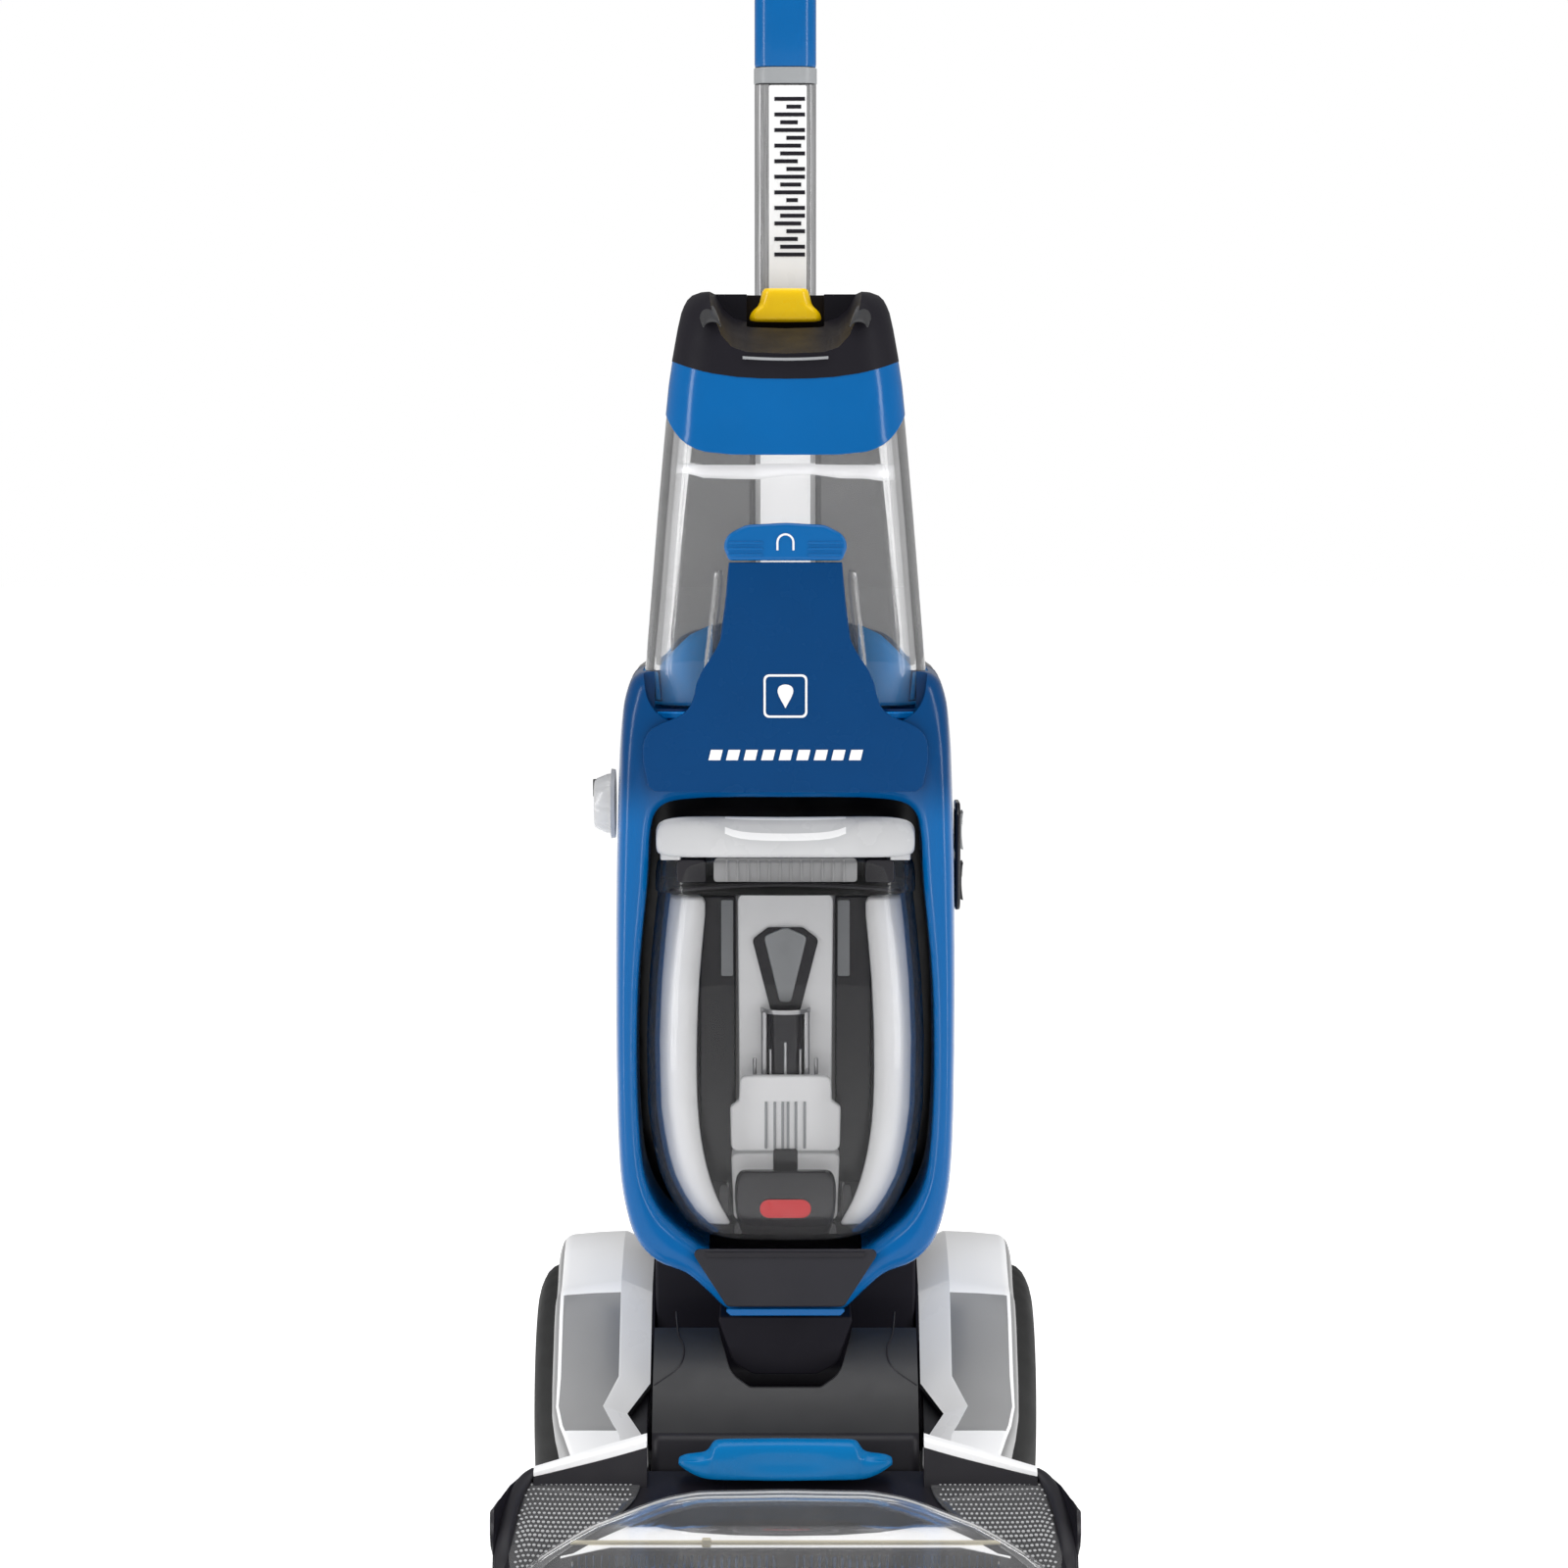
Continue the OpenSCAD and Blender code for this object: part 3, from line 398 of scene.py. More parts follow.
def smooth_line(points, each=4):
    """A Catmull-Rom curve through the points, each stretch cut in so many parts."""
    pts = [tuple(p) for p in points]
    ext = [pts[0]] + pts + [pts[-1]]
    out = []
    for i in range(1, len(ext) - 2):
        for k in range(each):
            t = k / each
            out.append(tuple(0.5 * ((2 * b) + (c - a) * t + (2 * a - 5 * b + 4 * c - d) * t * t
                                    + (3 * b - a - 3 * c + d) * t ** 3)
                             for a, b, c, d in zip(ext[i - 1], ext[i], ext[i + 1], ext[i + 2])))
    return out + [pts[-1]]


def rounded(corners, steps=5):
    """An outline from corners (x, y, radius)."""
    out = []
    for i, (x, y, r) in enumerate(corners):
        if r <= 0:
            out.append((x, y))
            continue
        b = Vector((x, y))
        u = (Vector(corners[i - 1][:2]) - b).normalized()
        v = (Vector(corners[(i + 1) % len(corners)][:2]) - b).normalized()
        half = u.angle(v) / 2
        centre = b + (u + v).normalized() * (r / math.sin(half))
        p = b + u * (r / math.tan(half)) - centre
        q = b + v * (r / math.tan(half)) - centre
        turn = math.atan2(p.x * q.y - p.y * q.x, p.dot(q))
        start = math.atan2(p.y, p.x)
        out += [(centre.x + r * math.cos(start + turn * k / steps), centre.y + r * math.sin(start + turn * k / steps))
                for k in range(steps + 1)]
    return out


def pad(x0, z0, x1, z1, r, steps=5):
    """The outline of a rectangle with rounded corners."""
    return rounded([(x0, z0, r), (x1, z0, r), (x1, z1, r), (x0, z1, r)], steps)


def mirrored(half):
    """Corners of the right half, from bottom to top, with their mirror image."""
    return list(half) + [(-c[0],) + tuple(c[1:]) for c in reversed(half)]


def mirror_x(part):
    """The same (points, faces) on the other side of the machine."""
    verts, faces = part
    return [(-x, y, z) for x, y, z in verts], [tuple(reversed(f)) for f in faces]


def both(part):
    """A (points, faces) pair with its mirror image."""
    return join(part, mirror_x(part))


def rounded_ring(hw, y0, y1, r, bow, z, n=8):
    """A level ring of half width hw from y0 to y1 with corner radius r and the front bowed out."""
    out = []
    for k in range(4):
        sx, sy = (1 if k in (0, 3) else -1), (1 if k < 2 else -1)
        for i in range(n):
            a = math.radians(90 * k + 90 * i / (n - 1))
            x = sx * (hw - r) + r * math.cos(a)
            y = (y1 - r if sy > 0 else y0 + r) + r * math.sin(a)
            out.append((x, y, z))
        # extra points along the side to the next corner keep long faces curved
        nx = {0: (-1, 1), 1: (-1, -1), 2: (1, -1), 3: (1, 1)}[k]
        x_end = nx[0] * (hw - r) + (0 if k in (0, 2) else r * nx[0])
        y_end = (y1 - r if nx[1] > 0 else y0 + r) + (r * nx[1] if k in (0, 2) else 0)
        x_now, y_now, _ = out[-1]
        out += [(x_now + (x_end - x_now) * t / 6, y_now + (y_end - y_now) * t / 6, z) for t in range(1, 6)]
    return [(x, y - bow * (1 - (x / hw) ** 2) if y < (y0 + y1) / 2 else y, z) for x, y, z in out]


def boolean(ob, cutters):
    """Cuts closed (points, faces) shapes out of a piece and keeps the result."""
    for part in cutters:
        mesh = bpy.data.meshes.new("cut")
        mesh.from_pydata([tuple(c * MM for c in v) for v in part[0]], [], part[1])
        bm = bmesh.new()
        bm.from_mesh(mesh)
        bmesh.ops.recalc_face_normals(bm, faces=bm.faces)
        if bm.calc_volume(signed=True) < 0:
            bmesh.ops.reverse_faces(bm, faces=bm.faces)
        bm.to_mesh(mesh)
        bm.free()
        tool = bpy.data.objects.new("cut", mesh)
        bpy.context.scene.collection.objects.link(tool)
        mod = ob.modifiers.new("cut", "BOOLEAN")
        mod.operation = "DIFFERENCE"
        mod.solver = "EXACT"
        mod.object = tool
        bpy.context.view_layer.update()
        done = bpy.data.meshes.new_from_object(ob.evaluated_get(bpy.context.evaluated_depsgraph_get()))
        ob.modifiers.clear()
        ob.data = done
        bpy.data.objects.remove(tool)
    for p in ob.data.polygons:
        p.use_smooth = True
    ob.data.set_sharp_from_angle(angle=math.radians(35))


stack_part = maker("dirty_tank", "stack_grey")
lid_part = maker("dirty_tank", "lid_grey")
rear_part = maker("upright", "shell_black")
blue_part = maker("upright", "gloss_blue")
foot_part = maker("foot", "foot_black")
cover_part = maker("foot", "cover_grey")
silver_part = maker("foot", "silver_trim")
inlet_part = maker("foot", "knob_grey")
plate_part = maker("foot", "smoke_clear")
cap_part = maker("clean_tank", "gloss_black")
band_part = maker("clean_tank", "gloss_blue")
wall_part = maker("clean_tank", "smoke_clear")
tube_part = maker("upright", "tube_silver")
sign_part = maker("upright", "knob_grey")
apron_part = maker("upright", "cover_grey")
catch_part = maker("clean_tank_catch", "gloss_blue")
float_part = maker("float", "float_white")
window_part = maker("suction_window", "clear_window")
knob_part = maker("mode_dial", "knob_grey")


# ---- stage, camera and lights -----------------------------------------------------------------

def build_stage():
    """A wide pale floor, a white surround, one camera and soft lights."""
    reach = (-FLOOR_REACH, 0.0, FLOOR_REACH)
    verts, faces = strip([[(x, y, 0.0) for x in reach] for y in reach])
    mesh = bpy.data.meshes.new("floor")
    mesh.from_pydata([tuple(c * MM for c in v) for v in verts], [], faces)
    floor = bpy.data.objects.new("floor", mesh)
    bpy.context.scene.collection.objects.link(floor)
    paper = plastic("studio_paper", (0.93, 0.93, 0.93), 0.8, 0.05, 300, 0.00003, tone=0.004)
    for node in paper.node_tree.nodes:
        if node.type == "BSDF_PRINCIPLED":
            node.inputs["Emission Color"].default_value = (1.0, 1.0, 1.0, 1.0)
            node.inputs["Emission Strength"].default_value = FLOOR_GLOW
    mesh.materials.append(paper)

    world = bpy.data.worlds.new("studio")
    bpy.context.scene.world = world
    world.use_nodes = True
    back = world.node_tree.nodes["Background"]
    back.inputs["Color"].default_value = (1.0, 1.0, 1.0, 1.0)
    rays = world.node_tree.nodes.new("ShaderNodeLightPath")
    level = world.node_tree.nodes.new("ShaderNodeMapRange")
    level.inputs["To Min"].default_value = SURROUND_LIGHT
    level.inputs["To Max"].default_value = 1.0
    world.node_tree.links.new(rays.outputs["Is Camera Ray"], level.inputs["Value"])
    world.node_tree.links.new(level.outputs["Result"], back.inputs["Strength"])
    bpy.context.scene.view_settings.view_transform = "Standard"

    cam = bpy.data.cameras.new("camera")
    cam.lens = CAMERA_LENS
    cam.sensor_width = 36.0
    cam.clip_end = 50.0
    ob = bpy.data.objects.new("camera", cam)
    bpy.context.scene.collection.objects.link(ob)
    ob.location = CAMERA_AT
    ob.rotation_euler = (Vector(CAMERA_AIM) - ob.location).to_track_quat("-Z", "Y").to_euler()
    bpy.context.scene.camera = ob

    def area(name, at, toward, size, power):
        """A rectangular lamp aimed at a point."""
        light = bpy.data.lights.new(name, "AREA")
        light.shape = "RECTANGLE"
        light.size, light.size_y = size
        light.energy = power
        lamp = bpy.data.objects.new(name, light)
        bpy.context.scene.collection.objects.link(lamp)
        lamp.location = at
        lamp.rotation_euler = (Vector(toward) - Vector(at)).to_track_quat("-Z", "Y").to_euler()

    area("left_strip", (-1.35, -0.75, 0.8), (0.0, 0.0, 0.5), (0.22, 1.7), 11.0)
    area("right_strip", (1.35, -0.75, 0.8), (0.0, 0.0, 0.5), (0.22, 1.7), 10.0)
    area("overhead", (0.0, -0.5, 2.5), (0.0, 0.0, 0.3), (2.2, 1.4), 26.0)


build_stage()


# ---- body: blue front frame ---------------------------------------------------------------------

OUTER = [(0, 165), (20, 165), (33, 166), (44, 176), (57, 187), (74, 194), (86, 207), (92.5, 228), (95.5, 255),
         (96.6, 300), (96.8, 355), (96.3, 410), (95.6, 440), (94.8, 470), (93.5, 495), (90.5, 516), (83, 528.5),
         (60, 530), (0, 530)]
INNER = [(0, 197.5), (18, 197.5), (34, 198), (45, 200), (54, 206), (63, 213), (71.5, 222), (79, 237), (83, 258),
         (85, 300), (84, 355), (79, 409), (77, 438), (74, 450), (66, 456), (50, 458), (34, 458.4), (20, 458.5),
         (0, 458.5)]


def frame_outline(share):
    """The closed line that lies share of the way from the outer to the inner edge of the frame."""
    half = [(a[0] + (b[0] - a[0]) * share, a[1] + (b[1] - a[1]) * share)
            for a, b in zip(smooth_line(OUTER, 4), smooth_line(INNER, 4))]
    return half + [(-x, z) for x, z in reversed(half[1:-1])]


def build_front_frame():
    """The blue frame, rounded over its front edge, with the clean tank's cradle in its top."""
    profile = smooth_line([(0.0, 24.6), (0.0, 0.0), (0.0, -34.0), (0.02, -48.0), (0.12, -56.0), (0.34, -59.5),
                           (0.62, -59.9), (0.86, -57.5), (0.97, -52.0), (1.0, -44.0), (1.0, -10.0), (1.0, 20.0)], 3)
    rings = []
    for share, y in profile:
        lean = 1.5 * max(0.0, -y - 20) / 40
        rings.append([(x * (1 - lean / 96.8), y, z) for x, z in frame_outline(min(1.0, max(0.0, share)))])
    rings.append([(x, 24.6, z) for x, z in frame_outline(0.9)])
    # the frame's blue turns darker above about 440 mm: painted shade
    shell = blue_part("blue_frame", loft(rings, hoop=True), "blue_shell", "front_shell")
    pocket = loft([rounded_ring(80.9, -50.8, 60.0, 22, 0, z) for z in (508.2, 560.0)])
    recess = box((93.0, -21.0, 396.0), (99.0, -3.0, 449.0))
    shaft = tube((-100, *KNOB), (-84, *KNOB), 4.1)
    mouth = prism(rounded([(-76, 500.5, 22), (76, 500.5, 22), (82, 545, 0), (-82, 545, 0)], 10), "y", -75.0, -45.0)
    boolean(shell, [pocket, recess, shaft, mouth])
    # the cup and back below are in a lighter, glowing blue, so that they read through the clean tank: painted light
    cup = [[p for p in rounded_ring(81.0, -50.8, 54.2, 22, 0, z) if p[1] > -38] for z in (500.0, 514.0, 528.0)]
    start = max(range(len(cup[0])), key=lambda i: math.dist(cup[0][i][:2], cup[0][i - 1][:2]))
    rows = [row[start:] + row[:start] for row in cup]
    rows.append([(x, y, z + 22.0 * max(0.0, y / 54.2) * (1 - (abs(x) / 82.0) ** 2.2)) for x, y, z in rows[-1]])
    blue_part("cradle_cup", strip(rows), "blue_cup", solid=1.2)
    arch = rounded(mirrored([(79, 500, 0), (79, 524, 10), (60, 546, 20), (24, 556, 30)]), 6)
    blue_part("cradle_back", prism(arch, "y", 54.6, 57.4), "blue_cup", bevel=1.1, steps=3)
    # the cradle floor is in a lighter blue: painted light
    floor = loft([rounded_ring(80.5, -50.4, 54.0, 22, 0, z) for z in (503.0, 505.6, 506.8)])
    blue_part("cradle_floor", floor, "blue_lit", bevel=0.8)


def crowned_plate(outline, y_mid, y_edge, y_back, half_w, rows, cols):
    """A plate in the XZ plane whose front is crowned across X. outline gives half width at z."""
    zs = [outline[0][0] + (outline[-1][0] - outline[0][0]) * i / rows for i in range(rows + 1)]
    grid = []
    for z in zs:
        w = lookup(z, outline)
        grid.append([(w * (2 * j / cols - 1), y_mid + (y_edge - y_mid) * abs(w * (2 * j / cols - 1) / half_w) ** 5, z)
                     for j in range(cols + 1)])
    n = cols + 1
    verts = [p for r in grid for p in r] + [(x, y_back, z) for r in grid for x, _, z in r]
    m = len(grid)
    faces = []
    for i in range(m - 1):
        for j in range(cols):
            a = i * n + j
            faces.append((a, a + 1, a + n + 1, a + n))
            b = a + m * n
            faces.append((b, b + n, b + n + 1, b + 1))
    ring = [*range(n), *[i * n + n - 1 for i in range(1, m)], *[(m - 1) * n + j for j in range(n - 2, -1, -1)],
            *[i * n for i in range(m - 2, 0, -1)]]
    for k, a in enumerate(ring):
        b = ring[(k + 1) % len(ring)]
        faces.append((a, a + m * n, b + m * n, b))
    return verts, faces


def build_header():
    """The raised brow over the bay and the tower that stands before the clean tank."""
    brow = crowned_plate([(463.0, 73.0), (466.0, 77.0), (480.0, 80.0), (488.0, 80.0), (494.0, 78.6), (498.5, 74.6),
                          (501.5, 69.0), (503.5, 63.0), (506.0, 57.6), (510.0, 53.6), (516.0, 51.2), (524.0, 49.6),
                          (531.0, 46.6), (538.0, 41.8), (545.0, 37.6), (552.0, 35.2), (562.0, 33.8), (575.0, 32.6),
                          (591.4, 31.6)], y_mid=-66.0, y_edge=-61.2, y_back=-60.0, half_w=80.0, rows=40, cols=32)
    # the brow is in the darker copy of the blue: painted shade
    blue_part("blue_header", brow, "blue_deep", "header_cowl", bevel=1.4, steps=3)
    rings = []
    for z, hw in ((520, 41), (532, 39), (550, 36.2), (570, 33.6), (588, 32.0), (591.0, 31.4)):
        rings.append(rounded_ring(hw, -63.4, -57.2, 2.6, 1.0, z, 5))
    # the tower is in the darker copy of the blue: painted shade
    blue_part("latch_tower", loft(rings), "blue_deep", bevel=0.6)
    # clear ribs that flank the tower
    for side, name in SIDES:
        rows = [[(side * (hw + 1.0), -57.5, z), (side * (hw + 3.2), -61.5, z), (side * (hw + 7.0), -58.5, z),
                 (side * (hw + 7.4), -56.6, z)] for z, hw in ((531, 39), (550, 36.6), (570, 34.2), (588, 32.6))]
        make("tower_rib_" + name, *strip(rows), "smoke", "upright", "smoke_clear", solid=1.0, sub=1)


def build_tank_latch():
    """The catch on top of the tower, with grip ridges at each side and a plain open-lock sign."""
    half = [(0, 592.4, 0), (31.5, 592.4, 2.5), (34.2, 599, 3), (34.0, 606, 9), (22, 612.2, 14), (0, 613.4, 0)]
    outline = rounded(mirrored(half), 6)
    body = prism(outline, "y", -66.6, -56.9)
    catch_part("latch_cap", body, "blue", "tank_latch", bevel=2.2, steps=4)
    ridges = join(*[both(prism(pad(12.5, 594.8 + 3.4 * k, 32.0, 596.2 + 3.4 * k, 0.6, 2), "y", -67.3, -65.8))
                    for k in range(3)])
    catch_part("latch_ridges", ridges, "blue", bevel=0.4)
    arch = [(math.cos(math.radians(a)) * 5, 602.6 + math.sin(math.radians(a)) * 5) for a in range(0, 181, 15)]
    outer = [(5, 598.2)] + arch + [(-5, 598.2)]
    inner = [(-3.9, 598.2)] + [(x * 0.78, 602.6 + (z - 602.6) * 0.78) for x, z in reversed(arch)] + [(3.9, 598.2)]
    sign = prism(outer + inner, "y", -67.1, -66.2)
    make("latch_sign", *sign, "white", "clean_tank_catch", "knob_grey")


build_front_frame()
build_header()
build_tank_latch()


# ---- clean tank ------------------------------------------------------------------------------------

CLEAN_W = [(508, 77.5), (512, 78.6), (530, 79.6), (570, 76.2), (620, 72.2), (671, 67.6), (690, 65.7), (704, 63.6),
           (722, 60.4), (732, 58.2), (738, 55.6), (741.6, 52.0), (743.6, 46.0)]
CLEAN_F = [(508, -43), (512, -44.6), (530, -46), (620, -41.4), (690, -37.8), (720, -35.5), (733, -31), (740, -25),
           (743.5, -19)]


def clean_ring(z, inset=0.0):
    """The clean tank's level section at z, moved inwards by inset."""
    w, f = lookup(z, CLEAN_W) - inset, lookup(z, CLEAN_F) + inset
    return rounded_ring(w, f, 52 - inset, 23 - inset * 0.5, 4, z)


def band_low(x, y):
    """Lower edge of the blue band, which dips in an arc at the front."""
    return 676.0 if y > 0 else 651.0 + 25.0 * min(1.0, abs(x) / 67.0) ** 6


def cap_low(x, y):
    """Lower edge of the cap, which dips in a shallower arc."""
    return 704.0 if y > 10 else 693.5 + 10.5 * min(1.0, abs(x) / 64.0) ** 2.6


def skirted(top_rings, low, inset, deep=6):
    """Rings whose lowest follows the height low(x, y), joined evenly up to the first of the top rings."""
    first = top_rings[0]
    rows = []
    for k in range(deep):
        row = []
        for x, y, z in first:
            zz = low(x, y) + (z - low(x, y)) * k / deep
            w = (lookup(zz, CLEAN_W) - inset) / (lookup(z, CLEAN_W) - inset)
            f = (lookup(zz, CLEAN_F) + inset) / (lookup(z, CLEAN_F) + inset) if y < 0 else 1.0
            row.append((x * w, y * f, zz))
        rows.append(row)
    return rows + top_rings


def build_clean_tank():
    """The clear wall, the fill line and what shows through the tank."""
    zs = [509.2, 512, 520, 530, 545, 565, 590, 615, 640, 665, 690]
    outer = [clean_ring(z, 3.0 if z < 510 else 0.0) for z in zs]
    inner = [clean_ring(z, 2.4) for z in reversed(zs[1:])]
    wall_part("clean_tank_clear", loft(outer + inner), "smoke", "clean_tank_shell")
    # water: a thin skin at the fill line, slightly wavy where it meets the wall; it glows: painted light
    line = []
    for z, dip in ((638.4, 2.4), (641.0, 1.4), (645.5, 0.4)):
        line.append([(x, y, zz + dip * (math.sin(x * 0.085 + 0.6) * 0.6 + 0.4 * math.sin(x * 0.19)))
                     for x, y, zz in clean_ring(z, 2.7)])
    make("fill_line", *loft(line, (False, False)), "water", "clean_tank", "clear_tank", solid=0.3)
    # blue sheets in the tank's foot stand for the cradle seen through it; their lighter blue and glow are painted light
    base = clean_ring(530.0, 2.9)
    for side, name in SIDES:
        picks = sorted((i for i, (x, y, z) in enumerate(base) if side * x > 40 and y < 8),
                       key=lambda i: (base[i][1], side * base[i][0]))
        rows = []
        for k in range(7):
            row = [(side * 41.0, lookup(510 + 46 * k / 6, CLEAN_F) + 2.9, 510 + 46 * k / 6)]
            for i in picks:
                top = 556.0 - 25.0 * max(0.0, (side * base[i][0] - 46.0) / 26.0) ** 1.4
                z = 510 + (top - 510) * k / 6
                row.append(clean_ring(z, 2.9)[i])
            rows.append(row)
        band_part("tank_foot_" + name, strip(rows), "blue_cup", solid=0.7)
    # smoked panels on the rear wall beside the spine; they also darken the tank's middle as painted shade
    for side, name in SIDES:
        rows = [[(side * (17.5 + (w - 17.5) * j / 8), 48.6, z) for j in range(9)]
                for z, w in ((514, 66), (545, 67), (580, 63), (615, 59), (650, 55), (688, 51))]
        wall_part("tank_rear_smoke_" + name, strip(rows), "smoke_mid", solid=0.9)


def build_tank_top():
    """The blue band and the black cap with its scooped front and button well."""
    band_top = [clean_ring(z, -0.5) for z in (692.0, 698.0, 704.0)]
    band_in = [clean_ring(z, 1.6) for z in (704.0, 698.0, 692.0)]
    skirt = skirted(band_top, band_low, -0.5, 8)
    skirt_in = skirted(list(reversed(band_in)), band_low, 1.6, 8)
    band_part("tank_band", loft(skirt + list(reversed(skirt_in)), hoop=True), "blue", "clean_tank_band", bevel=0.5)

    cap_zs = [710.0, 716.0, 722.0, 727.0, 731.0, 735.0, 738.5, 741.2, 743.0]
    rings = skirted([clean_ring(z, -0.7) for z in cap_zs], cap_low, -0.7, 5)
    lid = cap_part("tank_cap", loft(rings), "cap_black", "clean_tank_cap")
    scoop = []
    for x, up in ((-44, 34), (-41, 22), (-36, 10), (-30, 3.5), (-22, 0.8), (0, 0), (22, 0.8), (30, 3.5), (36, 10),
                  (41, 22), (44, 34)):
        scoop.append([(x, -70, 704.0 + up), (x, -34, 708.5 + up), (x, 10, 720.5 + up * 0.9), (x, 33, 726.5 + up * 0.8),
                      (x, 33.5, 770), (x, -70, 770)])
    seat = prism(pad(-22.4, 20, 22.4, 51.2, 4), "z", 722.6, 760.0)
    boolean(lid, [loft(scoop), seat])
    mod = lid.modifiers.new("edges", "BEVEL")
    mod.width, mod.segments, mod.limit_method, mod.angle_limit = 1.3 * MM, 3, "ANGLE", math.radians(30)
    cap_part("cap_back", prism(rounded(mirrored([(26, 712, 3), (26, 742.6, 2)]), 4), "y", 51.4, 53.4), "cap_black",
             bevel=0.6)
    cap_part("button_seat", box((-22.2, 21.0, 721.2), (22.2, 51.0, 723.0)), "satin_black", bevel=0.4)
    # bright lobes each side of the well and a lip line below it
    for side, name in SIDES:
        rows = []
        for k in range(9):
            t = math.radians(180 * k / 8)
            row = []
            for j in range(7):
                u = -1 + 2 * j / 6
                x = 43.0 + 5.6 * math.cos(t) + 2.2 * u
                row.append((side * x, -31.0 + 13.0 * u, 727.0 + 5.5 * u + 6.2 * math.sin(t) * (1 - 0.35 * u * u)))
            rows.append(row)
        cap_part("cap_lobe_" + name, strip(rows), "dark_grey", solid=1.2, sub=1)
    lip = [[(x, -43.4 + 0.0022 * x * x - 0.6 * math.cos(a), 704.4 + 0.0016 * x * x + 0.8 * math.sin(a))
            for a in (math.radians(k * 45) for k in range(8))] for x in range(-24, 25, 4)]
    cap_part("cap_lip_line", loft(lip), "mid_grey")


def build_button():
    """The yellow push button: a flared skirt under a dished oval top."""
    rings = []
    for z, hw, hd, r in ((727.2, 20.6, 7.0, 3.5), (729.0, 21.0, 7.0, 3.6), (732.0, 20.4, 6.9, 4.0),
                         (734.6, 18.2, 6.7, 5.0), (736.6, 15.4, 6.4, 5.6), (741.0, 14.4, 6.3, 6.1),
                         (745.0, 13.6, 6.0, 5.9), (746.8, 12.0, 5.0, 4.9), (746.6, 10.6, 4.0, 3.9),
                         (745.6, 8.0, 2.9, 2.8), (745.2, 4.0, 1.5, 1.4)):
        rings.append(rounded_ring(hw, 43 - hd, 43 + hd, r, 0, z, 8))
    # the button's faint glow is painted light
    make("yellow_button", *loft(rings), "yellow", "release_button", "button_yellow", ("tank_button",), sub=1)


build_clean_tank()
build_tank_top()
build_button()


# ---- dirty tank ------------------------------------------------------------------------------------

DIRTY_W = [(204.3, 44), (205.6, 48), (209, 54), (215, 59.2), (226, 66), (243, 72.4), (262, 76.4), (282, 78.6),
           (321, 79.0), (355, 77.4), (382, 75.0), (404, 72.5)]
DIRTY_F = [(204.3, -34), (205.6, -38), (209, -42), (215, -45), (226, -48.5), (250, -52), (300, -55), (345, -55),
           (382, -52.5), (404, -49.5)]


def dirty_ring(z, inset=0.0):
    """The dirty tank's level section at z, moved inwards by inset."""
    w, f = lookup(z, DIRTY_W) - inset, lookup(z, DIRTY_F) + inset
    return rounded_ring(w, f, 49 - inset, 25 - inset * 0.5, 6.5, z)


def build_dirty_tank():
    """The clear bucket and its lid."""
    zs = [204.4, 205.6, 209, 215, 222, 232, 243, 255, 268, 282, 300, 321, 340, 355, 370, 385, 404]
    make("dirty_tank_clear", *loft([dirty_ring(z) for z in zs] + [dirty_ring(z, 2.4) for z in reversed(zs[2:])]),
         "glassy", "dirty_tank", "clear_tank", ("dirty_tank_shell",))
    lid = [(404.0, -0.6), (404.0, -1.4), (407, -1.6), (414, -1.4), (419, -0.6), (422, 1.5), (423, 4.5)]
    lid_part("dirty_lid", loft([dirty_ring(z, inset) for z, inset in lid]), "glassy")
    ends = both(prism(rounded([(44.5, 410.6, 2), (61.5, 410.6, 2), (61.5, 424, 3), (44.5, 424, 3)], 4), "y", -51.5,
                      -24.0))
    lid_part("lid_end_blocks", ends, "black", bevel=1.0, steps=3)
    ribs = [prism([(x - 0.7, 411), (x + 0.7, 411), (x + 0.7, 424), (x - 0.7, 424)], "y", -50.6, -48.4)
            for x in range(-33, 34, 6)]
    panel = prism(rounded(mirrored([(40.5, 410.8, 2), (40.5, 424.4, 3)]), 4), "y", -48.8, -46.0)
    # the ribbed panel's grey glows: painted light
    lid_part("lid_ribbed_panel", join(panel, *ribs), "mid_lit", bevel=0.4)
    collar = []
    for x in range(-66, 67, 6):
        arch = 408.6 - 4.6 * (x / 66.0) ** 2
        front = -55.4 + 0.0018 * x * x
        collar.append([(x, front, arch), (x, front - 0.9, arch + 0.9), (x, front - 0.7, arch + 2.2),
                       (x, front + 0.8, arch + 2.8)])
    lid_part("lid_arch", strip(collar), "satin_black", solid=1.4, sub=1)


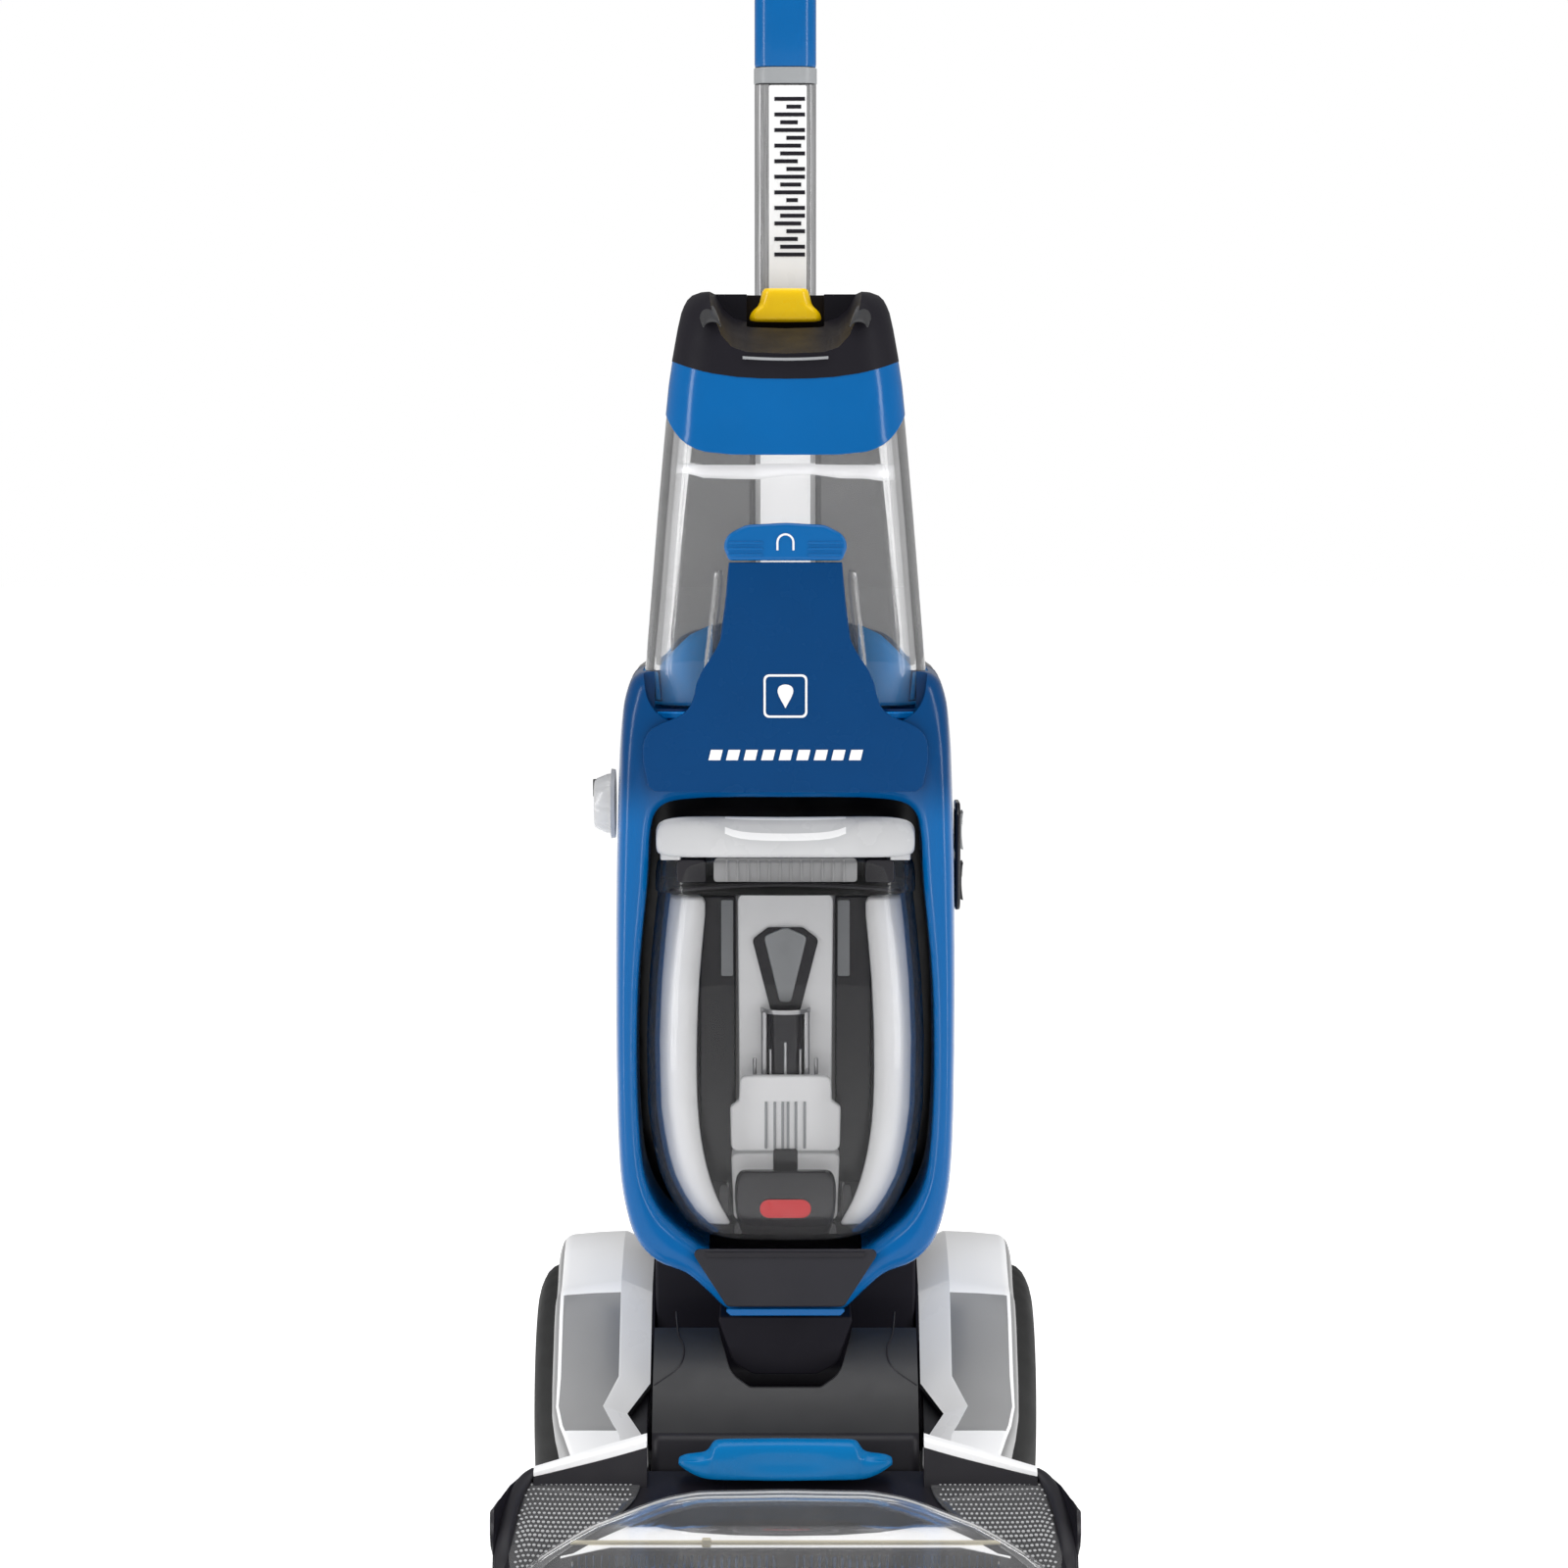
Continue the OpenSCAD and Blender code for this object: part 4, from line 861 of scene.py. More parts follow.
def build_carry_bar():
    """The bar over the lid: high at its ends, dished at the middle, with a rolled top whose upward faces are painted
    white as a highlight.
    """
    stations = [-73, -72, -69, -60, -50, -42, -34, -26, -13, 0, 13, 26, 34, 42, 50, 60, 69, 72, 73]
    rings = []
    for x in stations:
        a = abs(x)
        end = 0.62 if a >= 73 else 0.9 if a >= 72 else 1.0
        top = lookup(a, [(0, 448.2), (42, 448.6), (60, 448.4), (69, 446.7), (73, 444.2)])
        front_top = lookup(a, [(0, 436.6), (24, 437.0), (33, 440.0), (41, 445.8), (69, 445.6), (73, 443.2)])
        low = lookup(a, [(0, 425.2), (60, 425.0), (73, 426.5)])
        y0 = -60.6 + 0.0011 * a * a
        mid = (top + low) / 2
        ring = [(y0 + 1.2, low), (y0, low + 3), (y0 - 0.2, (low + front_top) / 2), (y0 + 0.4, front_top - 1.2),
                (y0 + 3.0, front_top + 1.0), (-54.0, top - 0.4), (-51.5, top), (-50.3, top - 2.0), (-50.2, low + 4),
                (-50.6, low)]
        rings.append([(x, y, mid + (z - mid) * end) for y, z in ring])
    bar = lid_part("tank_carry_bar", loft(rings), "light_grey", "dirty_tank_lid", sub=1)
    # upward faces of the middle are white: painted highlight
    paint_light_on_faces(bar, lambda n, c, i: 1 if abs(c.x) < 37 and n.z > 0.35 else 0, "white")
    arms = both(prism(rounded([(-53, 423.5, 1), (-53, 444, 3), (-14, 436, 4), (-12, 421.5, 1)], 4), "x", 59.0, 70.5))
    lid_part("carry_bar_arms", arms, "light_grey", bevel=1.2, steps=3)


def build_stack():
    """The separator inside the tank: plate, funnel, rods, side columns, badge and float."""
    plate = prism(rounded(mirrored([(26.4, 284, 3), (27.4, 400, 4)]), 4), "y", -12.5, -9.0)
    # the plate's grey glows to lift it out of the tank's shade: painted light
    stack_part("stack_plate", plate, "lit_grey", "dirty_tank_stack", bevel=1.0, steps=3)
    funnel = prism(rounded([(-19, 374, 3), (-10, 381, 4), (10, 381, 4), (19, 374, 3), (8.5, 333, 2), (-8.5, 333, 2)],
                           4), "y", -14.6, -12.4)
    stack_part("stack_funnel", funnel, "black", bevel=0.6)
    tongue = prism(rounded([(-12.5, 376, 3), (0, 381.5, 8), (12.5, 376, 3), (3.2, 338, 2.5), (-3.2, 338, 2.5)], 4), "y",
                   -16.2, -14.4)
    stack_part("stack_tongue", tongue, "mid_grey", bevel=0.7)
    stack_part("stack_pipe", tube((0, -12.8, 276), (0, -12.8, 333), 12.6, 40), "black", bevel=1.0)
    half_turn = [math.pi * k / 20 for k in range(21)]
    collar = [(14.4 * math.cos(a), -12.8 - 14.2 * math.sin(a)) for a in half_turn]
    inner_collar = [(12.9 * math.cos(a), -12.8 - 12.7 * math.sin(a)) for a in reversed(half_turn)]
    rods = [both(tube((12.2, -20.0, 280), (12.2, -20.0, 333), 1.7, 16)),
            both(tube((17.6, -18.5, 262), (17.6, -18.5, 306), 1.1, 12)),
            both(tube((8.6, -24.8, 272), (8.6, -24.8, 312), 0.6, 10)), tube((0, -25.6, 272), (0, -25.6, 316), 0.7, 10),
            prism(collar + inner_collar, "z", 332.2, 334.6)]
    stack_part("stack_rods", join(*rods), "silver")
    for side, name in SIDES:
        for number, w0, w1, z0, z1, front, tone in ((1, 28.6, 49.5, 232, 398, -6.0, "black"),
                                                    (2, 51, 61, 262, 392, 0.0, "satin_black")):
            column = prism(pad(side * w0, z0, side * w1, z1, 2, 3), "y", front, 24.0)
            stack_part(f"stack_column_{name}_{number}", column, tone, bevel=1.2)
        window = pad(side * 30, 352, side * 37, 396, 1, 3)
        stack_part("column_window_" + name, prism(window, "y", -7.2, -5.8), "mid_grey", bevel=0.4)
        # white sheets just inside the tank's front corners, glowing faintly, stand for the light seen through the clear
        # walls: painted light
        rows = []
        for z in (213, 222, 234, 248, 264, 284, 306, 330, 355, 380, 403.5):
            w, f = lookup(z, DIRTY_W), lookup(z, DIRTY_F)
            pull = 1.0 - 0.25 * max(0.0, (250 - z) / 37.0)
            row = [(side * (w - 25 + 22.2 * math.cos(a)), f + 25 - 22.2 * math.sin(a), z)
                   for a in (math.radians(4 + 82 * k / 10) for k in range(11))]
            row.append((side * (w - 25 - 4.0 * pull), f + 4.6, z))
            rows.append(row)
        stack_part("side_baffle_" + name, strip(rows), "lit_white", solid=0.9, sub=1)
    stack_part("badge_neck", prism(rounded([(-7, 240, 1), (7, 240, 1), (7, 256, 1.5), (-7, 256, 1.5)], 3), "y", -35.4,
                                   -32.0), "black", bevel=0.5)
    clips = both(prism(rounded([(31.5, 212, 2), (40, 214, 2), (37.5, 236, 2), (32.5, 236, 2)], 3), "y", -36.0, -26.0))
    stack_part("badge_clips", clips, "black", bevel=0.8)
    box_front = rounded(mirrored([(29.5, 214, 4), (31, 252.5, 3)]), 4)
    # the box's grey glows: painted light
    stack_part("separator_box", prism(box_front, "y", -30.0, 20.0), "lit_grey", bevel=2.0, steps=3)
    stack_part("separator_back", prism(rounded(mirrored([(66, 236, 14), (70, 300, 6), (64, 396, 6)]), 4), "y", 36.0,
                                       39.0), "white", bevel=0.8)
    rings = []
    for z, hw, over in ((207.4, 22.5, -0.6), (208.2, 24.0, 0.5), (210, 25.2, 0.9), (215, 26.8, 1.0), (222, 28.2, 1.0),
                        (230, 28.8, 1.0), (238, 28.6, 1.0), (243, 27.6, 0.9), (245.4, 26.0, 0.4), (246.2, 24.4, -0.6)):
        rings.append(rounded_ring(hw, lookup(z, DIRTY_F) - over, lookup(z, DIRTY_F) + 6, 3.0, 1.0, z, 5))
    make("tank_badge", *loft(rings), "black", "dirty_tank", "shell_black")
    mark = prism(pad(-14.5, 219, 14.5, 230, 5.4, 6), "y", -2.9, -0.6)
    make("badge_mark", [(x, y + lookup(z, DIRTY_F), z) for x, y, z in mark[0]], mark[1], "red", "dirty_tank",
         "button_yellow")
    ribs = [prism([(x - 0.8, 256), (x + 0.8, 256), (x + 0.8, 283), (x - 0.8, 283)], "y", -33.6, -32.2)
            for x in (-11, -6, -1.5, 1.5, 6, 11)]
    float_part("float_ribs", join(*ribs), "mid_grey", bevel=0.3)
    cup = prism(rounded(mirrored([(31, 254.5, 4), (31.5, 280, 3), (26.5, 284, 2), (26, 298, 4)]), 5), "y", -32.6, -26.6)
    # the float cup's grey glows: painted light
    float_part("float_cup", cup, "lit_grey", "tank_float", bevel=1.6, steps=4)


build_dirty_tank()
build_carry_bar()
build_stack()


# ---- body: rear shell, header marks, controls -----------------------------------------------------

def build_rear_shell():
    """The black rear housing: rounded to the back, with a recess for the spine and vent slots."""
    side = smooth_line([(25.2, 163, 530), (40, 163, 530), (90, 163, 530.2), (106, 164, 529), (116, 168, 519),
                        (123, 178, 500), (127.2, 192, 470), (128, 210, 420), (128, 230, 380)], 3)
    rings = []
    for y, low, high in side:
        k = max(0.0, (y - 60.0) / 68.0)
        pull = 1.0 - 0.16 * k ** 2.6 - 0.05 * max(0.0, low - 178) / 52
        rings.append([(x * pull, y, low + (z - 165.0) * (high - low) / (530.0 - 165.0)) for x, z in frame_outline(0.0)])
    last = rings[-1]
    for s in (0.8, 0.5, 0.2):
        rings.append([(x * s, 128.0, 305 + (z - 305) * s) for x, y, z in last])
    shell = rear_part("rear_housing", loft(rings, (False, True)), "black", "rear_shell", solid=2.4)
    cuts = [prism(pad(-21.6, 62.4, 21.6, 93.7, 9), "z", 515.0, 545.0),
            loft([rounded_ring(81.2, -50.8, 53.3, 22, 0, z) for z in (508.2, 560.0)]),
            tube((50, 110, 330), (50, 135, 330), 22.4, 40), tube((-45, 110, 215), (-45, 135, 215), 8.4),
            tube((0, 110, 460), (0, 135, 460), 6.2)]
    cuts += [box((-62, 120, 382 + 7 * k), (62, 135, 385.6 + 7 * k)) for k in range(8)]
    boolean(shell, cuts)
    rear_part("vent_backing", box((-66, 119.5, 376), (66, 121.5, 442)), "satin_black", bevel=0.5)
    seam = [[(x * 1.004, y, z) for x, z in frame_outline(0.0)] for y in (24.4, 25.6)]
    rear_part("shell_seam", loft(seam, (False, False)), "satin_black", solid=0.6)


def build_header_marks():
    """Plain signs in place of lettering: a droplet in a rounded square and a dashed line."""
    frame_out = pad(-12.2, 504.8, 12.2, 529, 3)
    frame_in = pad(-11.0, 506.0, 11.0, 527.8, 2.2)
    n = len(frame_out)
    verts = [(x, -66.45, z) for x, z in frame_out + frame_in] + [(x, -65.0, z) for x, z in frame_out + frame_in]
    faces = []
    for i in range(n):
        j = (i + 1) % n
        faces += [(i, j, n + j, n + i), (2 * n + i, 3 * n + i, 3 * n + j, 2 * n + j), (i, 2 * n + i, 2 * n + j, j),
                  (n + i, n + j, 3 * n + j, 3 * n + i)]
    drop = [(6.5 * math.sin(t) * (0.55 - 0.45 * math.cos(t)), 516.8 - 6.6 * math.cos(t)) for t in turned(24)]
    sign_part("tank_sign", join((verts, faces), prism(drop, "y", -66.45, -65.0)), "white")
    dashes = []
    for k in range(9):
        x0 = -43.0 + 9.8 * k
        slant = [(x0, 481.0), (x0 + 6.6, 481.0), (x0 + 8.0, 486.8), (x0 + 1.4, 486.8)]
        v, f = prism(slant, "y", -66.5, -64.6)
        dashes.append(([(x, y + 4.8 * abs(x / 80.0) ** 5, z) for x, y, z in v], f))
    sign_part("header_dashes", join(*dashes), "white")


def build_controls():
    """Left mode knob, right switch panel."""
    rings = []
    for x, r in ((-97.1, 19.6), (-99.4, 20.0), (-99.6, 18.6), (-99.9, 17.2), (-102.0, 16.9), (-107.5, 14.6),
                 (-109.0, 13.4), (-109.2, 12.0), (-108.4, 10.5), (-108.2, 2.0)):
        ring = []
        for k, t in enumerate(turned(72)):
            rr = r - (0.6 if k % 9 in (0, 1) and -108.8 < x < -99.8 else 0.0)       # shallow flutes round the grip
            ring.append((x, KNOB[0] + rr * math.cos(t), KNOB[1] + rr * math.sin(t)))
        rings.append(ring)
    knob_part("mode_knob_grip", loft(rings), "light_grey", "mode_knob")
    pointer = prism(pad(-13.2, 456, -10.8, 466, 0.8, 3), "x", -110.0, -106.0)
    knob_part("mode_knob_pointer", pointer, "dark_grey", bevel=0.3)
    outline = rounded([(-29, 392, 7), (5, 392, 7), (5, 447, 5), (-1, 453.5, 4), (-22, 453.5, 4), (-29, 447, 5)], 5)
    panel = rear_part("switch_surround", prism(outline, "x", 96.7, 99.6), "black", "switch_bezel", bevel=1.0, steps=3)
    boolean(panel, [box((90, -20.9, z - 11.8), (104, -3.1, z + 11.8)) for z in (HEAT_Z, POWER_Z)])
    for z, body, node, tone in ((POWER_Z, "power_switch", "power_rocker", "mid_grey"),
                                (HEAT_Z, "heat_switch", "heat_rocker", "dark_grey")):
        face = [(97.8, z - 9)] + [(100.6 + (k / 5) ** 2, z + 11 * k / 5) for k in range(-5, 6)] + [(97.8, z + 9)]
        make(node + "_cap", *prism(face, "y", -20.5, -3.5), tone, body, "cover_grey", (node,), bevel=0.6)
        dot = tube((101.0, -12, z + 4.0), (101.6, -12, z + 4.0), 1.5, 20)
        dash = prism([(-13, z + 2.0), (-11, z + 2.0), (-11, z + 7.0), (-13, z + 7.0)], "x", 100.6, 101.5)
        make(node + "_sign", *(dot if body == "power_switch" else dash), "white", body, "knob_grey")


build_rear_shell()
build_header_marks()
build_controls()


# ---- handle ----------------------------------------------------------------------------------------

LEAN = math.radians(40.0)
LOOP_C = (162.7, 1036.0)


def to_part(a, b):
    """The loop's own plane (a to the rear limb, b along the lean) to (y, z)."""
    return (LOOP_C[0] + a * math.cos(LEAN) + b * math.sin(LEAN), LOOP_C[1] + b * math.cos(LEAN) - a * math.sin(LEAN))


def grip_ring(y, z, turn, w=36.0, d=24.0, r=10.5, n=6):
    """A rounded section of the handle, turned about X by turn."""
    out = []
    for k in range(4):
        for i in range(n):
            a = math.radians(90 * k + 90 * i / (n - 1))
            u = (1 if k in (0, 3) else -1) * (w / 2 - r) + r * math.cos(a)
            v = (1 if k < 2 else -1) * (d / 2 - r) + r * math.sin(a)
            out.append((u, y + v * math.cos(turn), z - v * math.sin(turn)))
    return out


def build_tube():
    """The alloy tube, with two grooves down each side of its front, and a label of plain bars."""
    section = rounded([(0, -12, 0), (18, -12, 7), (18, 12, 7), (0, 12, 0)], 7)[1:-1]
    front = []
    for x in (0.0, 3.0, 6.0, 7.9, 8.5, 9.1, 9.7, 12.6, 13.2, 13.8, 14.4):
        dip = 0.9 if x in (8.5, 9.1, 13.2, 13.8) else 0.0
        lean = max(0.0, x - 11.0)
        front.append((x, -(math.sqrt(max(0.0, 49 - lean * lean)) + 5.0) + dip))
    curve = [(x, y) for x, y in section if not (y < -4.5 and x < 15.2)]
    right = front + curve
    full = right + [(-x, y) for x, y in reversed(right[1:]) if x > 0.01]
    rings = [[(x, TUBE_Y + y, z) for x, y in full] for z in (560.0, 640.0, 720.0, 800.0, 865.5)]
    tube_part("grooved_tube", loft(rings), "alloy", "handle_tube")
    # the spine's white face, seen through the clean tank; its strong glow is painted light
    face = prism([(-14.5, 560), (14.5, 560), (14.5, 704), (-14.5, 704)], "y", 54.0, 62.0)
    make("spine_face", *face, "spine_white", "upright", "smoke_sleeve", bevel=1.0)
    tube_part("tube_label", prism(pad(-9.6, 742, 12.4, 865, 1, 3), "y", 65.3, 66.4), "white")
    bars = []
    for k in range(21):
        z = 766.0 + 4.5 * k
        low, high = -6.4 + (0, 3.4, 0, 7.0)[k % 4], 11.4 - (0, 0, 4.2, 0, 2.2)[k % 5]
        bars.append(prism([(low, z), (high, z), (high, z + 2.3), (low, z + 2.3)], "y", 65.0, 65.4))
    tube_part("label_bars", join(*bars), "black")

    collar = [(866.2, 34.0, 22.0), (866.4, 36.8, 24.8), (875.6, 36.8, 24.8), (875.9, 34.4, 22.4)]
    rings = [grip_ring(TUBE_Y, z, 0.0, w, d) for z, w, d in collar]
    tube_part("tube_collar", loft(rings), "mid_grey", bevel=0.4)


def build_loop():
    """The blue limb that bends back into a closed loop, its grip sleeve and the trigger."""
    path = [(TUBE_Y, 876.2, 0.0, 35.4, 23.4), (TUBE_Y, 878.0, 0.0, 36.0, 24.0), (TUBE_Y, 915.0, 0.0, 36.0, 24.0)]
    path += [(TUBE_Y + 100 * (1 - math.cos(t)), 951.5 + 100 * math.sin(t), t, 36.0, 24.0)
             for t in (LEAN * k / 8 for k in range(9))]
    for k in range(25):
        t = math.pi * k / 24
        path.append((*to_part(-34 * math.cos(t), 30 + 34 * math.sin(t)), LEAN + t, 36.0, 24.0))
    path.append((*to_part(34.0, 5.0), LEAN + math.pi, 36.0, 24.0))
    path.append((*to_part(34.0, -20.0), LEAN + math.pi, 36.0, 24.0))
    for k in range(1, 9):
        t = math.pi / 2 * k / 8
        path.append((*to_part(12 + 22 * math.cos(t), -20 - 22 * math.sin(t)), LEAN + math.pi + t, 36.0, 24.0))
    path.append((*to_part(-14.0, -42.0), LEAN + 1.5 * math.pi, 35.6, 24.4))
    path.append((*to_part(-22.0, -42.0), LEAN + 1.5 * math.pi, 36.0, 27.0))
    path.append((*to_part(-30.0, -42.0), LEAN + 1.5 * math.pi, 34.6, 30.0))
    loop = blue_part("loop_handle", loft([grip_ring(y, z, t, w, d) for y, z, t, w, d in path]), "blue", "handle_loop")
    pocket = [to_part(a, b) for a, b in ((21, -16), (33, -16), (33, 34), (21, 34))]
    boolean(loop, [prism(pocket, "x", -8.4, 8.4)])
    # soft grip sleeve round the top of the loop
    rings = []
    for k in range(4, 21):
        t = math.pi * k / 24
        grow = 1.6 if 4 < k < 20 else 0.2
        y, z = to_part(-34 * math.cos(t), 30 + 34 * math.sin(t))
        rings.append(grip_ring(y, z, LEAN + t, 36.0 + grow, 24.0 + grow, 11.0))
    blue_part("grip_sleeve", loft(rings), "rubber")
    outline = smooth_line([(31.5, 30), (24, 29), (19, 27), (16, 16), (15.2, 6), (14.2, -6), (15.4, -12), (22, -14)], 4)
    outline += [(25, 0), (26, 18)]
    pts = [to_part(a, b) for a, b in outline]
    make("trigger_lever", *prism(pts, "x", -7.7, 7.7), "dark_grey", "trigger", "foot_black", ("spray_trigger",),
         bevel=1.2, steps=3)


build_tube()
build_loop()


# ---- floor head: fairings, cover, wheels -------------------------------------------------------------

FAIRING = [(-91, 80.4), (-86, 83.4), (-70, 89.2), (-54, 94.8), (-50.5, 96.6), (-47.5, 99.2), (-38, 108), (-25, 122.4),
           (-12, 137.5), (0, 151.4), (11, 164), (15, 167.6), (19.5, 169.8), (28, 172.6), (45, 178.6), (62, 183.0),
           (76, 184.8), (92, 184.6), (112, 181.2), (132, 172), (149, 161)]


def line_normals(line):
    """The unit normal of a (y, z) line at each of its points."""
    out = []
    for i in range(len(line)):
        a, b = line[max(0, i - 1)], line[min(len(line) - 1, i + 1)]
        d = Vector((b[0] - a[0], b[1] - a[1])).normalized()
        out.append((d.y, -d.x))
    return out


def build_fairing(side, name):
    """A fender: a bevel inside, a flat face, and a band that wraps over the wheel. The lighter, glowing silvers on the
    bevel, top band and outer edge are painted light; the darker silver of the front face and the black of the inner
    skirt are painted shade.
    """
    line = FAIRING
    normals = line_normals(line)
    inner_edge = [(80, 78.0), (88, 77.2), (95, 78.0), (101, 84.0), (107.5, 91.5), (111, 83.0), (114.5, 77.2),
                  (190, 77.2)]
    outer_edge = [(80, 119.0), (84, 121.0), (98, 131.5), (104, 133.5), (112, 134.6), (190, 134.8)]
    rows = []
    for (y, z), (ny, nz) in zip(line, normals):
        front = y < 62
        x0 = lookup(z, inner_edge) if front else 77.2
        x1 = lookup(z, outer_edge) if front else 134.8
        row = []
        for share, deep in ((0.0, 15.0), (0.0, 10.0), (0.012, 8.6), (0.3, 0.5), (0.325, 0.0), (0.6, -0.1), (0.87, 0.0),
                            (0.905, 0.35), (0.94, 1.6), (0.97, 3.8), (0.99, 7.0), (1.0, 12.0), (1.0, 17.0)):
            if y > 60:
                deep = min(deep, 9.0 + deep / 20)       # kept apart, so that the faces keep their order
            across = max(0.0, x0 + (x1 - x0) * share - 98.0) / 36.0
            deep += 9.0 * across ** 1.3 * lookup(y, [(0, 0), (24, 1.0), (46, 0.9), (72, 0.3), (149, 0.3)])
            row.append((side * (x0 + (x1 - x0) * share), y + ny * deep, z + nz * deep))
        rows.append(row)
    shell = silver_part(name + "_fender", strip(rows), "silver_front", name + "_fairing", solid=1.8, angle=21)

    def zone(n, c, i):
        """Painted light and shade by place in the grid: columns run from the inner edge out, rows from the front foot
        up.
        """
        row, col = i // 12, i % 12
        if col < 2:
            return 3 if row < 11 else 2
        if col < 4:
            return 1 if row < 12 else 2
        if col == 7 or (col < 7 and (row < 4 or row > 9)):
            return 2
        return 0

    # lit and shaded silvers and black by face: painted light and shade
    paint_light_on_faces(shell, zone, "silver_bevel_lit", "silver_top", "satin_black")
    under = [(y + ny * 16.0, z + nz * 16.0) for (y, z), (ny, nz) in list(zip(line, normals))[2:16]]
    shape = under + [(40, 120), (-60, 80)]
    foot_part(name + "_fender_core", prism(shape, "x", side * 79.0, side * 97.0), "satin_black", bevel=0.8)


def arc_point(x, t, up=0.0):
    """A point on the centre cover: t in degrees from its front foot to its top."""
    a = math.radians(t)
    y, z = -99.2 * math.cos(a), 62 + 96.4 * math.sin(a)
    ny, nz = -math.cos(a), math.sin(a)
    return (x, y + ny * up, z + nz * up)


def build_centre_cover():
    """The grey cover between the fenders, cut open at its top, with a panel line each side."""
    rows = [[arc_point(x, t) for x in (-74.8, -74.6, -73, -60, -45, -30, -15, 0, 15, 30, 45, 60, 73, 74.6, 74.8)]
            for t in [3.5 * k for k in range(21)]]
    cover = cover_part("centre_cover", strip(rows), "dark_grey", "saddle_cover", solid=2.6)
    notch = rounded(mirrored([(20, 126.5, 6), (31, 133, 14), (43, 166, 0), (43, 176, 0)]), 6)
    boolean(cover, [prism(notch, "y", -104.0, 8.0)])
    # the darker lower half is a second skin
    lower = [[arc_point(x, t, 0.5) for x in (-74.6, -70, -50, -25, 0, 25, 50, 70, 74.6)]
             for t in [2 + 3 * k for k in range(9)]]
    cover_part("cover_lower_skin", strip(lower), "satin_black", solid=0.6)
    for side, name in SIDES:
        groove = smooth_line([(63, 82), (61, 66), (58, 60), (58, 54), (62, 49), (74, 43)], 4)
        bead = []
        for x, t in groove:
            bead.append([(side * (x + dx), *arc_point(0, t + dt, up)[1:])
                         for dx, dt, up in ((-0.55, 0, 0.05), (0, 0.2, 0.55), (0.55, 0, 0.05), (0, -0.2, -0.3))])
        cover_part("cover_line_" + name, loft(bead), "satin_black")


def lathe_x(profile, n=96):
    """Rings of a profile of (radius, x) turned about the wheel axle."""
    return [[(x, PIVOT[0] + r * math.cos(t), PIVOT[1] + r * math.sin(t)) for t in turned(n)] for r, x in profile]


def build_wheel(side, name):
    """A tyre with fine cross grooves, a spoked hub and its cap."""
    tyre = [(58.2, 122), (66, 121.4), (74, 121.2), (78.6, 121.6), (80.6, 122.8), (81.8, 125), (82, 128), (82, 131),
            (81.3, 135), (79.2, 139.6), (76, 143), (72, 145.2), (68, 146.8), (63, 148), (60, 148.2), (58.2, 147)]
    out = []
    for (r, x), ring in zip(tyre, lathe_x(tyre, 144)):
        row = []
        for k, (px, py, pz) in enumerate(ring):
            deep = 0.9 if r > 79 and k % 4 == 0 else 0.0
            c = math.hypot(py - PIVOT[0], pz - PIVOT[1])
            row.append((side * px, PIVOT[0] + (py - PIVOT[0]) * (c - deep) / c,
                        PIVOT[1] + (pz - PIVOT[1]) * (c - deep) / c))
        out.append(row)
    make(name + "_tyre_tread", *loft(out, hoop=True), "rubber", name + "_wheel", "tyre_black", (name + "_tyre",))
    hub = [(5.1, 119.2), (13.8, 119.2), (14, 124.2), (57.9, 124.2), (57.9, 147.2), (55.5, 148.4), (52.5, 147.6),
           (50.5, 143.2), (46, 141.2), (24, 140.2), (18, 141.6), (15.5, 145.6), (13.5, 146.8), (9, 147), (5.1, 147)]
    rings = [[(side * x, y, z) for x, y, z in ring] for ring in lathe_x(hub, 120)]
    make(name + "_hub_disc", *loft(rings, hoop=True), "silver", name + "_wheel", "hub_silver", (name + "_hub",),
         angle=40)
    spokes = []
    low, high = (139.5, 144.2) if side > 0 else (-144.2, -139.5)
    for t in turned(10):
        u, v = (math.cos(t), math.sin(t)), (-math.sin(t), math.cos(t))
        loop = [(PIVOT[0] + r * u[0] + w * v[0], PIVOT[1] + r * u[1] + w * v[1])
                for r, w in ((17, -3.2), (48.5, -5.6), (48.5, 5.6), (17, 3.2))]
        spokes.append(prism(loop, "x", low, high))
    make(name + "_hub_spokes", *join(*spokes), "silver", name + "_wheel", "hub_silver", bevel=1.0, steps=3)
    cap = [(0.2, 148.8), (6, 148.7), (9.5, 148.0), (10.6, 146.6), (10.6, 145.0)]
    rings = [[(side * x, y, z) for x, y, z in ring] for ring in lathe_x(cap, 48)]
    make(name + "_hub_cap", *loft(rings), "mid_grey", name + "_wheel", "hub_silver", angle=50)


build_fairing(1, "right")
build_fairing(-1, "left")
build_centre_cover()
build_wheel(1, "right")
build_wheel(-1, "left")


# ---- floor head: nozzle ---------------------------------------------------------------------------------

COVER = [(-218, 9), (-216.6, 17), (-214.5, 25), (-206, 36), (-190, 47), (-160, 61), (-130, 72), (-112, 80),
         (-101, 85.6)]
WINDOW = [(-227.6, 5), (-227, 14), (-225.6, 24.5), (-214, 40.6), (-197, 53.6), (-163, 69.6), (-135, 77.6), (-116, 81.2)]
FRONT_AT = [(0, -218), (110, -218), (130, -215), (146, -205), (153, -196), (157, -188), (159.6, -176)]
REAR_AT = [(0, -101), (142, -101), (150, -106), (155, -120), (159.6, -146)]
WINDOW_REAR = [(0, -120.5), (48, -122.5), (66, -130), (104, -158), (130, -181), (141, -193)]
PLATE_INNER = [(0.2, 139.0), (0.35, 128.0), (0.6, 98.0), (0.8, 82.0), (1.0, 78.0)]
PLATE_OUTER = [(0.2, 148.0), (0.4, 151.5), (0.7, 150.5), (0.9, 146.0), (1.0, 142.0)]
PLATE_SLOPE = 0.42
